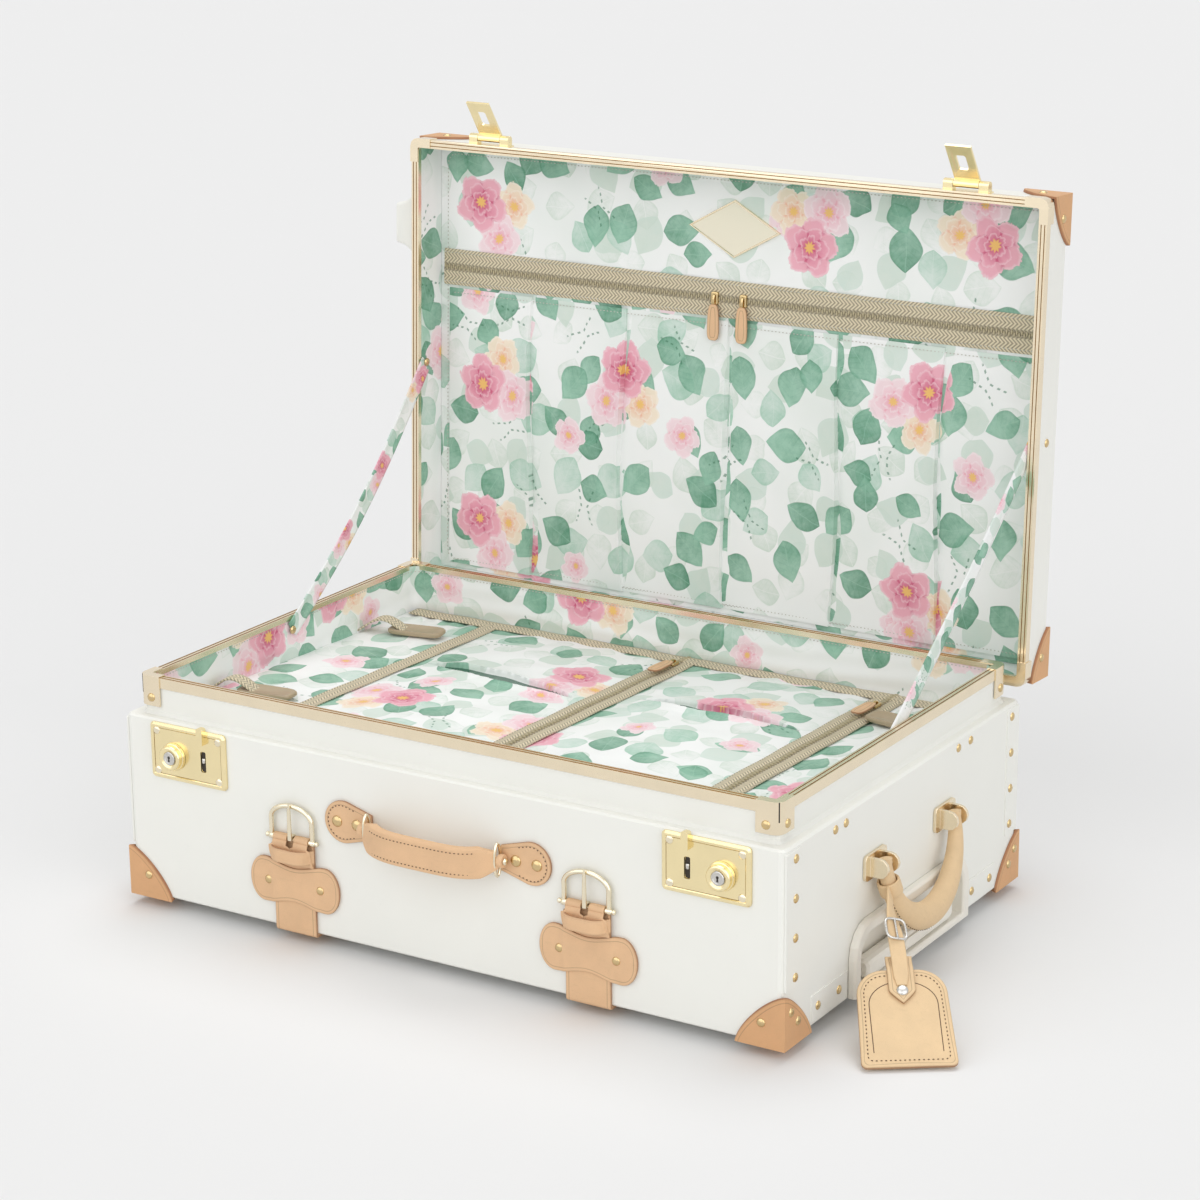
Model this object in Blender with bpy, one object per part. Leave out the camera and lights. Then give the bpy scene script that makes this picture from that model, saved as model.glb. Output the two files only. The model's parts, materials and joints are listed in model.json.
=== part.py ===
"""Vintage-style spinner suitcase, lying on its deep half with the lid open.

X runs to the end with the trolley handle, Y to the hinged back, Z up.
The origin is the centre of the base's bottom panel. The lid is drawn closed and turned open on its hinge.
"""
import math

import bmesh
import bpy
from mathutils import Vector
from mathutils.geometry import tessellate_polygon

# Case: overall sizes, walls and edges
CASE_LENGTH = 0.700
CASE_WIDTH = 0.456
BODY_HEIGHT = 0.177
NECK_HEIGHT = 0.036
NECK_INSET = 0.012
LID_HEADROOM = 0.014
WALL = 0.004
LINING = 0.0012
CORNER_RADIUS = 0.006
EDGE_BEVEL = 0.002
CLEAR = 0.0003
FOOT_HEIGHT = 0.012
FOOT_RADIUS = 0.014
FOOT_INSET = 0.070

# Metal frames round both openings and their corner caps
FRAME_SHEET = 0.0012
FRAME_SIDE = 0.010
FRAME_LIP = 0.005
CAP_SHEET = 0.001
CAP_LEG = 0.024
CAP_HEIGHT = 0.028
LID_CAP_HEIGHT = 0.012

# Bindings on the ends and leather corners
BINDING_WIDTH = 0.025
BINDING_SHEET = 0.001
LEATHER = 0.0025
LEATHER_LEG = 0.046
LID_LEATHER_DROP = 0.033

# Lid hinge
HINGE_OUT = 0.008
HINGE_UP = 0.004
HINGE_INSET = 0.160
HINGE_RADIUS = 0.005
HINGE_PIN = 0.002
HINGE_LUG = 0.014
HINGE_MIDDLE = 0.024
HINGE_LEAF = 0.0019
HINGE_LEAF_LENGTH = 0.030
LID_OPEN_ANGLE = 92.5

# Locks on the front and hasps on the lid
LOCK_INSET = 0.074
LOCK_WIDTH = 0.087
LOCK_HEIGHT = 0.054
LOCK_RISE = 0.004
LOCK_DROP = 0.002
SLOT_WIDTH = 0.006
SLOT_HEIGHT = 0.020
SLOT_OFFSET = 0.018
HOOK_WIDTH = 0.007
HOOK_RISE = 0.004
HOOK_HEIGHT = 0.017
KNOB_OFFSET = 0.016
KNOB_RADIUS = 0.0125
KNOB_RISE = 0.012
PLUG_RADIUS = 0.0052
PLUG_DEPTH = 0.005
HASP_SHIFT = 0.012
HASP_WIDTH = 0.026
HASP_LENGTH = 0.044
HASP_SHEET = 0.0025
HASP_RADIUS = 0.004
HASP_PIN = 0.0017
HASP_LUG = 0.010
HASP_OPEN_ANGLE = 54.0

# Front handle
HANDLE_TAB_SPAN = 0.242
HANDLE_TAB_LENGTH = 0.052
HANDLE_TAB_HEIGHT = 0.040
HANDLE_Z = 0.117
HANDLE_TAB_SHEET = 0.003
HANDLE_PIN = 0.0022
HANDLE_SLEEVE = 0.010
HANDLE_EYE = 0.014
GRIP_DEPTH = 0.011
GRIP_HEIGHT = 0.028
GRIP_STANDOFF = 0.028

# Buckled straps on the front
STRAP_HANDLE_GAP = 0.014
STRAP_WIDTH = 0.046
STRAP_SHEET = 0.003
STRAP_UNDER = 0.050
KEEPER_WIDTH = 0.100
KEEPER_HEIGHT = 0.044
KEEPER_WAIST = 0.033
KEEPER_Z = 0.045
LOOP_Z = 0.076
LOOP_HEIGHT = 0.012
LOOP_BULGE = 0.0135
BUCKLE_BAR_Z = 0.090
BUCKLE_WIDTH = 0.050
BUCKLE_ARCH = 0.034
BUCKLE_WIRE = 0.0045

# Side handle on the trolley end
SIDE_Z = 0.113
SIDE_SPAN = 0.136
SIDE_OUT = 0.012
SIDE_DROP = 0.066
SIDE_BOW = 0.010
SIDE_GRIP_DEPTH = 0.026
SIDE_GRIP_THICK = 0.022
SIDE_EYE = 0.012
SIDE_PIN = 0.0025
SIDE_CHEEK = 0.0035
SIDE_CHEEK_GAP = 0.0022
SIDE_CHEEK_RADIUS = 0.009
SIDE_PLATE_WIDTH = 0.040
SIDE_PLATE_HEIGHT = 0.024
SIDE_PLATE_SHEET = 0.003

# Luggage tag on the side handle, leaning out to the floor
TAG_WIDTH = 0.082
TAG_LENGTH = 0.096
TAG_SHEET = 0.004
TAG_STRAP_WIDTH = 0.014
TAG_STRAP_SHEET = 0.003
TAG_LOOP_RADIUS = 0.0098
TAG_FLAP = 0.030
TAG_TURN = 18.0
TAG_REACH_X = 0.086
TAG_REACH_Y = -0.126
TAG_FLOOR_GAP = 0.003

# Trolley handle
CUP_HALF = 0.113
CUP_HEIGHT = 0.067
CUP_RISE = 0.008
CUP_LIP = 0.012
CUP_SILL = 0.006
CUP_DEPTH = 0.011
CUP_WALL = 0.002
CUP_RADIUS = 0.030
TROLLEY_Z = 0.018
TROLLEY_SPAN = 0.140
TUBE_WIDTH = 0.024
TUBE_HEIGHT = 0.013
TUBE_WALL = 0.001
TUBE_FIT = 0.00025
TUBE_INSET = 0.100
TUBE_STEP = 0.010
TROLLEY_GRIP_HALF = 0.084
TROLLEY_GRIP_HEIGHT = 0.019
TROLLEY_GRIP_THICK = 0.015
BUTTON_WIDTH = 0.030
BUTTON_HEIGHT = 0.009
BUTTON_DEPTH = 0.006
BUTTON_PROUD = 0.0015

# Casters on the far end
HOUSING_CORNER_GAP = 0.0005
CASTER_BASE_Z = 0.056
CASTER_UPPER_GAP = 0.005
HOUSING_ROOT = 0.0405
HOUSING_TIP = 0.0205
HOUSING_RISE = 0.027
HOUSING_HALF_DEPTH = 0.0187
CASTER_WELL = 0.0172
CASTER_WELL_FLOOR = 0.004
CASTER_PLATE = 0.0160
CASTER_PLATE_SHEET = 0.0018
WHEEL_RADIUS = 0.0125
WHEEL_HALF = 0.0055
WHEEL_OUT = 0.0195
WHEEL_TRAIL = 0.0035
AXLE_RADIUS = 0.002
FORK_SHEET = 0.002

# Lining pieces inside the base
LINING_FLOOR = 0.027
DIVIDER_LEFT_INSET = 0.115
DIVIDER_RIGHT_INSET = 0.105
DIVIDER_Z = 0.163
DIVIDER_SLOPE = 0.024
DIVIDER_PILLOW = 0.007
DIVIDER_SHEET = 0.004
DIVIDER_GAP = 0.0008
BAND_WIDTH = 0.030
EDGE_BAND_WIDTH = 0.018
BAND_SHEET = 0.001
WEB_WIDTH = 0.022
WEB_SHEET = 0.0016
WEB_Y = 0.120
CLIP_LENGTH = 0.038
CLIP_SHEET = 0.006

# Zip sliders with leather pulls
SLIDER_LENGTH = 0.013
SLIDER_WIDTH = 0.009
SLIDER_HEIGHT = 0.005
PULL_LENGTH = 0.036
PULL_WIDTH = 0.011
PULL_SHEET = 0.002
MID_SLIDER_INSET = 0.050
SIDE_SLIDER_INSET = 0.063

# Pocket, zip band and stays of the lid
LID_PANEL_GAP = 0.0004
POCKET_TOP = 0.300
POCKET_FOOT = 0.012
POCKET_SIDE = 0.012
POCKET_SHEET = 0.0022
PLEAT_SPACING = 0.1165
PLEAT_DEPTH = 0.0016
PLEAT_WIDTH = 0.016
ZIP_LOW = 0.306
ZIP_HEIGHT = 0.037
LID_SLIDER_GAP = 0.032
STAY_WIDTH = 0.018
STAY_SHEET = 0.0012
STAY_BASE_DROP = 0.014
STAY_LID_DEPTH = 0.012

# Heights and half sizes that follow from the sizes above
HALF_L = CASE_LENGTH / 2
HALF_W = CASE_WIDTH / 2
LOCK_SPACING = CASE_LENGTH - 2 * LOCK_INSET
HASP_SPACING = LOCK_SPACING - 2 * HASP_SHIFT
STRAP_SPACING = HANDLE_TAB_SPAN + STRAP_WIDTH + 2 * STRAP_HANDLE_GAP
HINGE_SPAN = CASE_LENGTH - 2 * HINGE_INSET
TUBE_START = TUBE_INSET - HALF_L
DIVIDER_LEFT = DIVIDER_LEFT_INSET - HALF_L
DIVIDER_RIGHT = HALF_L - DIVIDER_RIGHT_INSET
CASTER_SPACING = CASE_WIDTH - 2 * (LEATHER_LEG + HOUSING_ROOT + HOUSING_CORNER_GAP)
SEAM = BODY_HEIGHT
RIM = SEAM + NECK_HEIGHT
LID_DEPTH = NECK_HEIGHT + LID_HEADROOM
LID_TOP = SEAM + LID_DEPTH
LID_EDGE = SEAM + CAP_SHEET + 2 * CLEAR
NECK_INNER = NECK_INSET + WALL
LINING_OUTER = NECK_INNER + CLEAR
LINING_INNER = LINING_OUTER + LINING
FRAME_OUTER = NECK_INSET - CLEAR - FRAME_SHEET
FRAME_INNER = LINING_INNER + CLEAR + FRAME_SHEET
LID_LINING_INNER = WALL + CLEAR + LINING
LID_FRAME_OUTER = -CLEAR - FRAME_SHEET
LID_FRAME_INNER = LID_LINING_INNER + CLEAR + FRAME_SHEET
LID_PANEL = LID_TOP - WALL - CLEAR - LINING - LID_PANEL_GAP
INNER_HALF_L = HALF_L - LINING_INNER
INNER_HALF_W = HALF_W - LINING_INNER
HINGE = Vector((0.0, HALF_W + HINGE_OUT, SEAM + HINGE_UP))
FLOOR = -FOOT_HEIGHT
LID_FRAME_SIDE = FRAME_SIDE * 0.8
CASTER_LID_Z = (LID_EDGE + LID_FRAME_SIDE + LID_TOP) / 2
CASTER_UPPER_Z = SEAM - EDGE_BEVEL - HOUSING_HALF_DEPTH - CASTER_UPPER_GAP
BASE_CASTERS = (("base_front", -1, CASTER_BASE_Z), ("base_back", 1, CASTER_BASE_Z),
                ("base_upper", 1, CASTER_UPPER_Z))
LID_CASTERS = (("lid_front", -1, CASTER_LID_Z),)

# Colour, roughness and metallic value of each finish
FINISHES = {
    "cream_board": ((0.80, 0.78, 0.70), 0.45, 0.0),
    "cream_plastic": ((0.80, 0.77, 0.68), 0.40, 0.0),
    "pale_gold": ((0.83, 0.68, 0.38), 0.22, 1.0),
    "leather_tan": ((0.70, 0.40, 0.20), 0.55, 0.0),
    "leather_pale": ((0.80, 0.58, 0.38), 0.55, 0.0),
    "lining_print": ((0.66, 0.74, 0.68), 0.70, 0.0),
    "aluminium": ((0.75, 0.75, 0.76), 0.30, 1.0),
    "wheel_plastic": ((0.70, 0.68, 0.62), 0.50, 0.0),
}


def clear_scene():
    """Removes what the file held before."""
    for item in list(bpy.data.objects):
        bpy.data.objects.remove(item, do_unlink=True)


def make_materials():
    """One Principled material for each finish."""
    materials = {}
    for name, (colour, roughness, metallic) in FINISHES.items():
        material = bpy.data.materials.new(name)
        material.use_nodes = True
        shader = material.node_tree.nodes["Principled BSDF"]
        shader.inputs["Base Color"].default_value = (*colour, 1.0)
        shader.inputs["Roughness"].default_value = roughness
        shader.inputs["Metallic"].default_value = metallic
        materials[name] = material
    return materials


class Pivot:
    """An empty on a joint's axis. Its point is its place with the lid closed."""

    def __init__(self, name, point, parent=None, turn=(0.0, 0.0, 0.0)):
        self.point = Vector(point)
        self.empty = bpy.data.objects.new(name, None)
        bpy.context.scene.collection.objects.link(self.empty)
        self.empty.location = self.point
        if parent is not None:
            self.empty.parent = parent.empty
            self.empty.location = self.point - parent.point
        self.empty.rotation_euler = turn


def finish(name, shape, material, pivot=None):
    """Turns a bmesh into a named object with its origin on its pivot."""
    bmesh.ops.recalc_face_normals(shape, faces=shape.faces)
    if pivot is not None:
        bmesh.ops.translate(shape, verts=shape.verts, vec=-pivot.point)
    mesh = bpy.data.meshes.new(name)
    shape.to_mesh(mesh)
    shape.free()
    mesh.shade_smooth()
    mesh.set_sharp_from_angle(angle=math.radians(35))
    if material is not None:
        mesh.materials.append(material)
    item = bpy.data.objects.new(name, mesh)
    bpy.context.scene.collection.objects.link(item)
    if pivot is not None:
        item.parent = pivot.empty
    return item


def work(item, name, shape, operation, pivot=None):
    """Joins a helper solid to an object or cuts it away."""
    helper = finish(name, shape, None, pivot)
    helper.hide_render = True
    helper.display_type = "WIRE"
    modifier = item.modifiers.new(name, "BOOLEAN")
    modifier.operation = operation
    modifier.solver = "EXACT"
    modifier.use_self = operation == "UNION"
    modifier.object = helper


def rounded_rectangle(half_u, half_v, radius, steps=3):
    """Anticlockwise outline of a rectangle with round corners."""
    points = []
    for corner in range(4):
        centre_u = (half_u - radius) * (1 if corner in (0, 3) else -1)
        centre_v = (half_v - radius) * (1 if corner in (0, 1) else -1)
        for step in range(steps + 1):
            angle = math.radians(90 * corner + 90 * step / steps)
            points.append((centre_u + radius * math.cos(angle), centre_v + radius * math.sin(angle)))
    return points


def circle(radius, count, start=0.0):
    """Anticlockwise points on a circle."""
    turns = [start + 2 * math.pi * i / count for i in range(count)]
    return [(radius * math.cos(a), radius * math.sin(a)) for a in turns]


def arc(centre, radius, start, end, count):
    """Points on an arc, angles in degrees."""
    angles = [math.radians(start + (end - start) * i / count) for i in range(count + 1)]
    return [(centre[0] + radius * math.cos(a), centre[1] + radius * math.sin(a)) for a in angles]


def moved(outline, u, v):
    """The same outline at another place."""
    return [(a + u, b + v) for a, b in outline]


def add_loft(shape, rings, closed=False):
    """Skins a run of rings; both ends are capped unless the run closes on itself."""
    rows = [[shape.verts.new(point) for point in ring] for ring in rings]
    pairs = list(zip(rows, rows[1:]))
    if closed:
        pairs.append((rows[-1], rows[0]))
    for low, high in pairs:
        for i in range(len(low)):
            j = (i + 1) % len(low)
            shape.faces.new((low[i], low[j], high[j], high[i]))
    if not closed:
        shape.faces.new(rows[0][::-1])
        shape.faces.new(rows[-1])


def add_plate(shape, outline, place, low, high, holes=()):
    """Extrudes a flat outline, with any holes, from one height to another."""
    loops = [list(outline)] + [list(hole) for hole in holes]
    flat = [point for loop in loops for point in loop]
    triangles = tessellate_polygon([[Vector((u, v, 0.0)) for u, v in loop] for loop in loops])
    bottom = [shape.verts.new(place(u, v, low)) for u, v in flat]
    top = [shape.verts.new(place(u, v, high)) for u, v in flat]
    for a, b, c in triangles:
        shape.faces.new((bottom[c], bottom[b], bottom[a]))
        shape.faces.new((top[a], top[b], top[c]))
    start = 0
    for loop in loops:
        count = len(loop)
        for i in range(count):
            j = (i + 1) % count
            shape.faces.new((bottom[start + i], bottom[start + j], top[start + j], top[start + i]))
        start += count


def add_turned(shape, profile, place, count, closed=False):
    """Turns a profile of radius and height about the place's own axis."""
    rings = [[place(u, v, height) for u, v in circle(radius, count)] for radius, height in profile]
    add_loft(shape, rings, closed)


def on_front(u, v, w):
    """A point w outside the front face, at length u and height v."""
    return Vector((u, -HALF_W - w, v))


def on_right(u, v, w):
    """A point w outside the trolley end, at width u and height v."""
    return Vector((HALF_L + w, u, v))


def on_left(u, v, w):
    """A point w outside the wheel end, at width u and height v."""
    return Vector((-HALF_L - w, u, v))


def along_x(u, v, w):
    """Maps a profile in the plane of width and height to a run along the length."""
    return Vector((w, u, v))


def flat(u, v, w):
    """Maps a plan outline to a height."""
    return Vector((u, v, w))


def plan_ring(inset, height, radius):
    """Rounded plan outline, inset from the case's outline."""
    return [flat(u, v, height) for u, v in rounded_rectangle(HALF_L - inset, HALF_W - inset, radius)]


def body_ring(inset, height):
    """Plan ring whose corners follow the case's own corner."""
    return plan_ring(inset, height, max(CORNER_RADIUS - inset, EDGE_BEVEL))


def neck_ring(inset, height):
    """Plan ring whose corners follow the neck's corner."""
    return plan_ring(inset, height, max(CORNER_RADIUS + NECK_INSET - inset, EDGE_BEVEL))


def add_channel(shape, ring, outer, inner, edge, away, side, lip):
    """Folded channel round an opening: a long outer leg, a top and a short inner lip."""
    sheet = FRAME_SHEET * away
    add_loft(shape, [
        ring(outer, edge - side * away),
        ring(outer, edge),
        ring(inner, edge),
        ring(inner, edge - lip * away),
        ring(inner - FRAME_SHEET, edge - lip * away),
        ring(inner - FRAME_SHEET, edge - sheet),
        ring(outer + FRAME_SHEET, edge - sheet),
        ring(outer + FRAME_SHEET, edge - side * away),
    ], closed=True)


def add_corner_caps(shape, outer, inner, edge, away, height, corner):
    """Sheet-metal caps on four frame corners: a folded angle swept round each corner."""
    side = outer - CAP_SHEET
    under = outer + FRAME_SHEET / 2
    seat = edge - away * FRAME_SHEET / 2
    top = edge + away * CAP_SHEET
    foot = edge - away * height
    steps = 3

    def corner_path(inset):
        """Plan points of leg, bend and leg at one inset from the case's outline."""
        x, y = HALF_L - inset, HALF_W - inset
        bend = max(corner - inset, EDGE_BEVEL)
        points = [(HALF_L - side - CAP_LEG, y)]
        for step in range(steps + 1):
            angle = math.radians(90 - 90 * step / steps)
            points.append((x - bend + bend * math.cos(angle), y - bend + bend * math.sin(angle)))
        points.append((x, HALF_W - side - CAP_LEG))
        return points

    outside, middle, inside = corner_path(side), corner_path(under), corner_path(inner - FRAME_SHEET / 3)
    for sign_x in (-1, 1):
        for sign_y in (-1, 1):
            rings = []
            for far, mid, near in zip(outside, middle, inside):
                fold = ((far, foot), (far, top), (near, top), (near, seat), (mid, seat), (mid, foot))
                rings.append([Vector((sign_x * u, sign_y * v, z)) for (u, v), z in fold])
            add_loft(shape, rings)


def add_leather_corner(shape, sign_x, sign_y, level, away, leg, drop, seat):
    """Leather cap on one corner of the case: three faces whose free edges bulge, as one skin."""
    steps = 5
    bulge = 1.35

    def corner_point(a, b, c):
        """A point at three distances inward from the case's corner."""
        return Vector((sign_x * (HALF_L - a), sign_y * (HALF_W - b), level - away * c))

    def edge_loop(skin):
        """The free edge round the three faces at one distance outside the board."""
        reach = [leg + skin, leg + skin, drop + skin]
        loop = []
        for face in range(3):
            first, second = face, (face + 1) % 3
            for step in range(steps):
                angle = math.radians(90 * step / steps)
                spans = [-skin, -skin, -skin]
                spans[first] += reach[first] * math.cos(angle) ** (2 / bulge)
                spans[second] += reach[second] * math.sin(angle) ** (2 / bulge)
                loop.append(corner_point(*spans))
        return loop

    inner_skin, outer_skin = seat, seat + LEATHER
    inner = [shape.verts.new(point) for point in edge_loop(inner_skin)]
    outer = [shape.verts.new(point) for point in edge_loop(outer_skin)]
    inner_tip = shape.verts.new(corner_point(-inner_skin, -inner_skin, -inner_skin))
    outer_tip = shape.verts.new(corner_point(-outer_skin, -outer_skin, -outer_skin))
    for i in range(len(inner)):
        j = (i + 1) % len(inner)
        shape.faces.new((inner_tip, inner[j], inner[i]))
        shape.faces.new((outer_tip, outer[i], outer[j]))
        shape.faces.new((inner[i], inner[j], outer[j], outer[i]))


def cup_outline(growth):
    """Outline of the trolley cup's opening grown by a margin: flat foot, round shoulders."""
    half = CUP_HALF - CUP_LIP + growth
    low = CUP_SILL - growth + EDGE_BEVEL / 2
    high = CUP_HEIGHT - CUP_LIP + growth
    radius = CUP_RADIUS - CUP_LIP + growth
    steps = 4
    points = [(-half, low), (half, low)]
    for centre, start in ((half - radius, 0), (-half + radius, 90)):
        for step in range(steps + 1):
            angle = math.radians(start + 90 * step / steps)
            points.append((centre + radius * math.cos(angle), high - radius + radius * math.sin(angle)))
    return points


def add_bindings(shape):
    """Raised strips on both ends: a post at each edge and a sill along the foot, clear of corners and cup."""
    strip_low, strip_high = LEATHER_LEG + EDGE_BEVEL, SEAM - 2 * EDGE_BEVEL
    root = -WALL / 4
    for place, gap in ((on_right, CUP_HALF + EDGE_BEVEL), (on_left, 0.0)):
        for sign in (-1, 1):
            middle = sign * (HALF_W - BINDING_WIDTH / 2 - EDGE_BEVEL)
            post = rounded_rectangle(BINDING_WIDTH / 2, (strip_high - strip_low) / 2, EDGE_BEVEL / 2, 1)
            add_plate(shape, moved(post, middle, (strip_high + strip_low) / 2), place, root, BINDING_SHEET)
        far = HALF_W - LEATHER_LEG - EDGE_BEVEL
        runs = ((-far, -gap), (gap, far)) if gap else ((-far, far),)
        for low, high in runs:
            sill = rounded_rectangle((high - low) / 2, BINDING_WIDTH / 2, EDGE_BEVEL / 2, 1)
            middle = BINDING_WIDTH / 2 + 2 * EDGE_BEVEL
            add_plate(shape, moved(sill, (low + high) / 2, middle), place, root, BINDING_SHEET)


def add_feet(shape):
    """Four tapered studs under the base with flat soles."""
    profile = [(FOOT_RADIUS * 0.8, FLOOR), (FOOT_RADIUS, FLOOR + EDGE_BEVEL), (FOOT_RADIUS, WALL / 2)]
    for sign_x in (-1, 1):
        for sign_y in (-1, 1):
            x, y = sign_x * (HALF_L - FOOT_INSET), sign_y * (HALF_W - FOOT_INSET)
            add_turned(shape, profile, lambda u, v, w: Vector((x + u, y + v, w)), 14)


def add_caster_housings(shape, casters):
    """Moulded bumps on the wheel end, flared at the root, each with a round well for its caster."""
    root = -WALL / 4
    for _, side, level in casters:
        y = side * CASTER_SPACING / 2
        rings = []
        for share in (0.0, 0.16, 0.36, 0.62, 1.0):
            flare = (HOUSING_ROOT - HOUSING_TIP) * (1 - share) ** 2.2
            depth = HOUSING_HALF_DEPTH + EDGE_BEVEL / 2 * (1 - share) ** 2
            outline = rounded_rectangle(HOUSING_TIP + flare, depth, EDGE_BEVEL * 2)
            out = HOUSING_RISE * share if share else root
            rings.append([on_left(y + u, level + v, out) for u, v in outline])
        well = circle(CASTER_WELL, len(rings[0]), math.radians(11))
        for out in (HOUSING_RISE, CASTER_WELL_FLOOR):
            rings.append([on_left(y + u, level + v, out) for u, v in well])
        add_loft(shape, rings)


def build_case(materials):
    """The deep half: board tub, frame, bindings, leather corners and feet."""
    shape = bmesh.new()
    neck_top = RIM - FRAME_SHEET - CLEAR
    fillet = NECK_INSET / 4
    add_loft(shape, [
        body_ring(EDGE_BEVEL, 0.0),
        body_ring(0.0, EDGE_BEVEL),
        body_ring(0.0, SEAM - EDGE_BEVEL),
        body_ring(EDGE_BEVEL, SEAM),
        neck_ring(NECK_INSET - fillet, SEAM),
        neck_ring(NECK_INSET, SEAM + fillet),
        neck_ring(NECK_INSET, neck_top),
        neck_ring(NECK_INNER, neck_top),
        neck_ring(NECK_INNER, SEAM - WALL),
        body_ring(WALL, SEAM - WALL - EDGE_BEVEL),
        body_ring(WALL, WALL),
    ])
    shell = finish("base_shell", shape, materials["cream_board"])
    shape = bmesh.new()
    add_bindings(shape)
    add_feet(shape)
    add_caster_housings(shape, BASE_CASTERS)
    work(shell, "base_fittings", shape, "UNION")
    shape = bmesh.new()
    add_plate(shape, cup_outline(CUP_WALL + CLEAR), on_right, -WALL - CUP_DEPTH, CUP_RISE)
    work(shell, "cup_opening", shape, "DIFFERENCE")

    shape = bmesh.new()
    add_channel(shape, neck_ring, FRAME_OUTER, FRAME_INNER, RIM, 1, FRAME_SIDE, FRAME_LIP)
    frame = finish("base_frame", shape, materials["pale_gold"])
    shape = bmesh.new()
    add_corner_caps(shape, FRAME_OUTER, FRAME_INNER, RIM, 1, CAP_HEIGHT, CORNER_RADIUS + NECK_INSET)
    work(frame, "base_corner_caps", shape, "UNION")

    for sign_x, side in ((-1, "left"), (1, "right")):
        for sign_y, face in ((-1, "front"), (1, "back")):
            shape = bmesh.new()
            add_leather_corner(shape, sign_x, sign_y, 0.0, -1, LEATHER_LEG, LEATHER_LEG, CLEAR)
            finish("base_corner_" + face + "_" + side, shape, materials["leather_tan"])


def divider_tapes():
    """Left and right edges of the tapes sewn along the divider."""
    return ((DIVIDER_LEFT, DIVIDER_LEFT + EDGE_BAND_WIDTH), (-BAND_WIDTH / 2, BAND_WIDTH / 2),
            (DIVIDER_RIGHT - BAND_WIDTH, DIVIDER_RIGHT))


def divider_ramp(y):
    """Height of the divider's tapes, which rise evenly from the back to the front."""
    return DIVIDER_Z + DIVIDER_SLOPE * (INNER_HALF_W - y)


def divider_top(x, y):
    """Height of the divider's upper face: raised tapes, and a padded crown between them on each half."""
    tapes = divider_tapes()
    if any(a - CLEAR < x < b + CLEAR for a, b in tapes):
        return divider_ramp(y) + BAND_SHEET
    if not DIVIDER_LEFT < x < DIVIDER_RIGHT:
        return divider_ramp(y)
    low, high = (tapes[0][1], tapes[1][0]) if x < 0 else (tapes[1][1], tapes[2][0])
    share = min(max((x - low) / (high - low), 0.0), 1.0)
    return divider_ramp(y) + DIVIDER_PILLOW * math.sin(math.pi * share) * (1 - (y / INNER_HALF_W) ** 2)


def build_base_inside(materials):
    """Lining tub, and the padded divider with its sewn tapes and the webbing that ties it down."""
    shape = bmesh.new()
    top = RIM - FRAME_SHEET - CLEAR
    add_loft(shape, [
        neck_ring(LINING_OUTER, LINING_FLOOR),
        neck_ring(LINING_OUTER, top),
        neck_ring(LINING_INNER, top),
        neck_ring(LINING_INNER, LINING_FLOOR + LINING),
    ])
    finish("base_lining", shape, materials["lining_print"])

    shape = bmesh.new()
    columns, rows = 19, 11
    half = INNER_HALF_W - DIVIDER_GAP
    wall = INNER_HALF_L - DIVIDER_GAP
    xs = {-wall + 2 * wall * i / (columns - 1) for i in range(columns)}
    for low, high in divider_tapes():
        xs = {x for x in xs if min(abs(x - low), abs(x - high)) > EDGE_BEVEL}
        xs.update((low - 2 * CLEAR, low, high, high + 2 * CLEAR))
    ys = [-half + 2 * half * j / (rows - 1) for j in range(rows)]
    add_slab(shape, sorted(xs), ys, lambda x, y: Vector((x, y, divider_top(x, y))),
             lambda x, y: Vector((x, y, divider_top(x, y) - DIVIDER_SHEET)))
    panel = finish("divider_panel", shape, materials["lining_print"])
    shape = bmesh.new()
    for side, edge, y in ((-1, DIVIDER_LEFT, -WEB_Y), (-1, DIVIDER_LEFT, WEB_Y), (1, DIVIDER_RIGHT, WEB_Y)):
        root = edge - side * DIVIDER_SHEET
        level = divider_ramp(y) - WEB_SHEET / 2
        middle = (side * wall + root) / 2
        run = moved(rounded_rectangle(wall - abs(middle), WEB_WIDTH / 2, EDGE_BEVEL / 2, 1), middle, y)
        add_plate(shape, run, flat, level, level + WEB_SHEET)
        clip = rounded_rectangle(CLIP_LENGTH / 2, WEB_WIDTH / 2 + EDGE_BEVEL, EDGE_BEVEL * 2, 2)
        add_plate(shape, moved(clip, (side * wall + edge) / 2, y), flat,
                  level + WEB_SHEET / 2, level + WEB_SHEET + CLIP_SHEET)
    work(panel, "divider_webbing", shape, "UNION")

    for name, x, y in (("divider_slider_mid", 0.0, HALF_W - MID_SLIDER_INSET),
                       ("divider_slider_right", DIVIDER_RIGHT - BAND_WIDTH / 2, HALF_W - SIDE_SLIDER_INSET)):
        level = divider_top(x, y) + CLEAR
        pivot = Pivot(name + "_track", (x, y, level))
        add_slider(name, lambda u, v, w: Vector((x + v, y - u, level + w + DIVIDER_SLOPE * u)), EDGE_BEVEL,
                   materials, pivot)


def add_slab(shape, us, vs, upper, lower):
    """Closed slab between two surfaces over the same grid."""
    top = [[shape.verts.new(upper(u, v)) for u in us] for v in vs]
    bottom = [[shape.verts.new(lower(u, v)) for u in us] for v in vs]
    columns, rows = len(us), len(vs)
    for j in range(rows - 1):
        for i in range(columns - 1):
            shape.faces.new((top[j][i], top[j][i + 1], top[j + 1][i + 1], top[j + 1][i]))
            shape.faces.new((bottom[j + 1][i], bottom[j + 1][i + 1], bottom[j][i + 1], bottom[j][i]))
    for j in range(rows - 1):
        for i in (0, columns - 1):
            shape.faces.new((top[j][i], top[j + 1][i], bottom[j + 1][i], bottom[j][i]))
    for i in range(columns - 1):
        for j in (0, rows - 1):
            shape.faces.new((top[j][i], top[j][i + 1], bottom[j][i + 1], bottom[j][i]))


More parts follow.
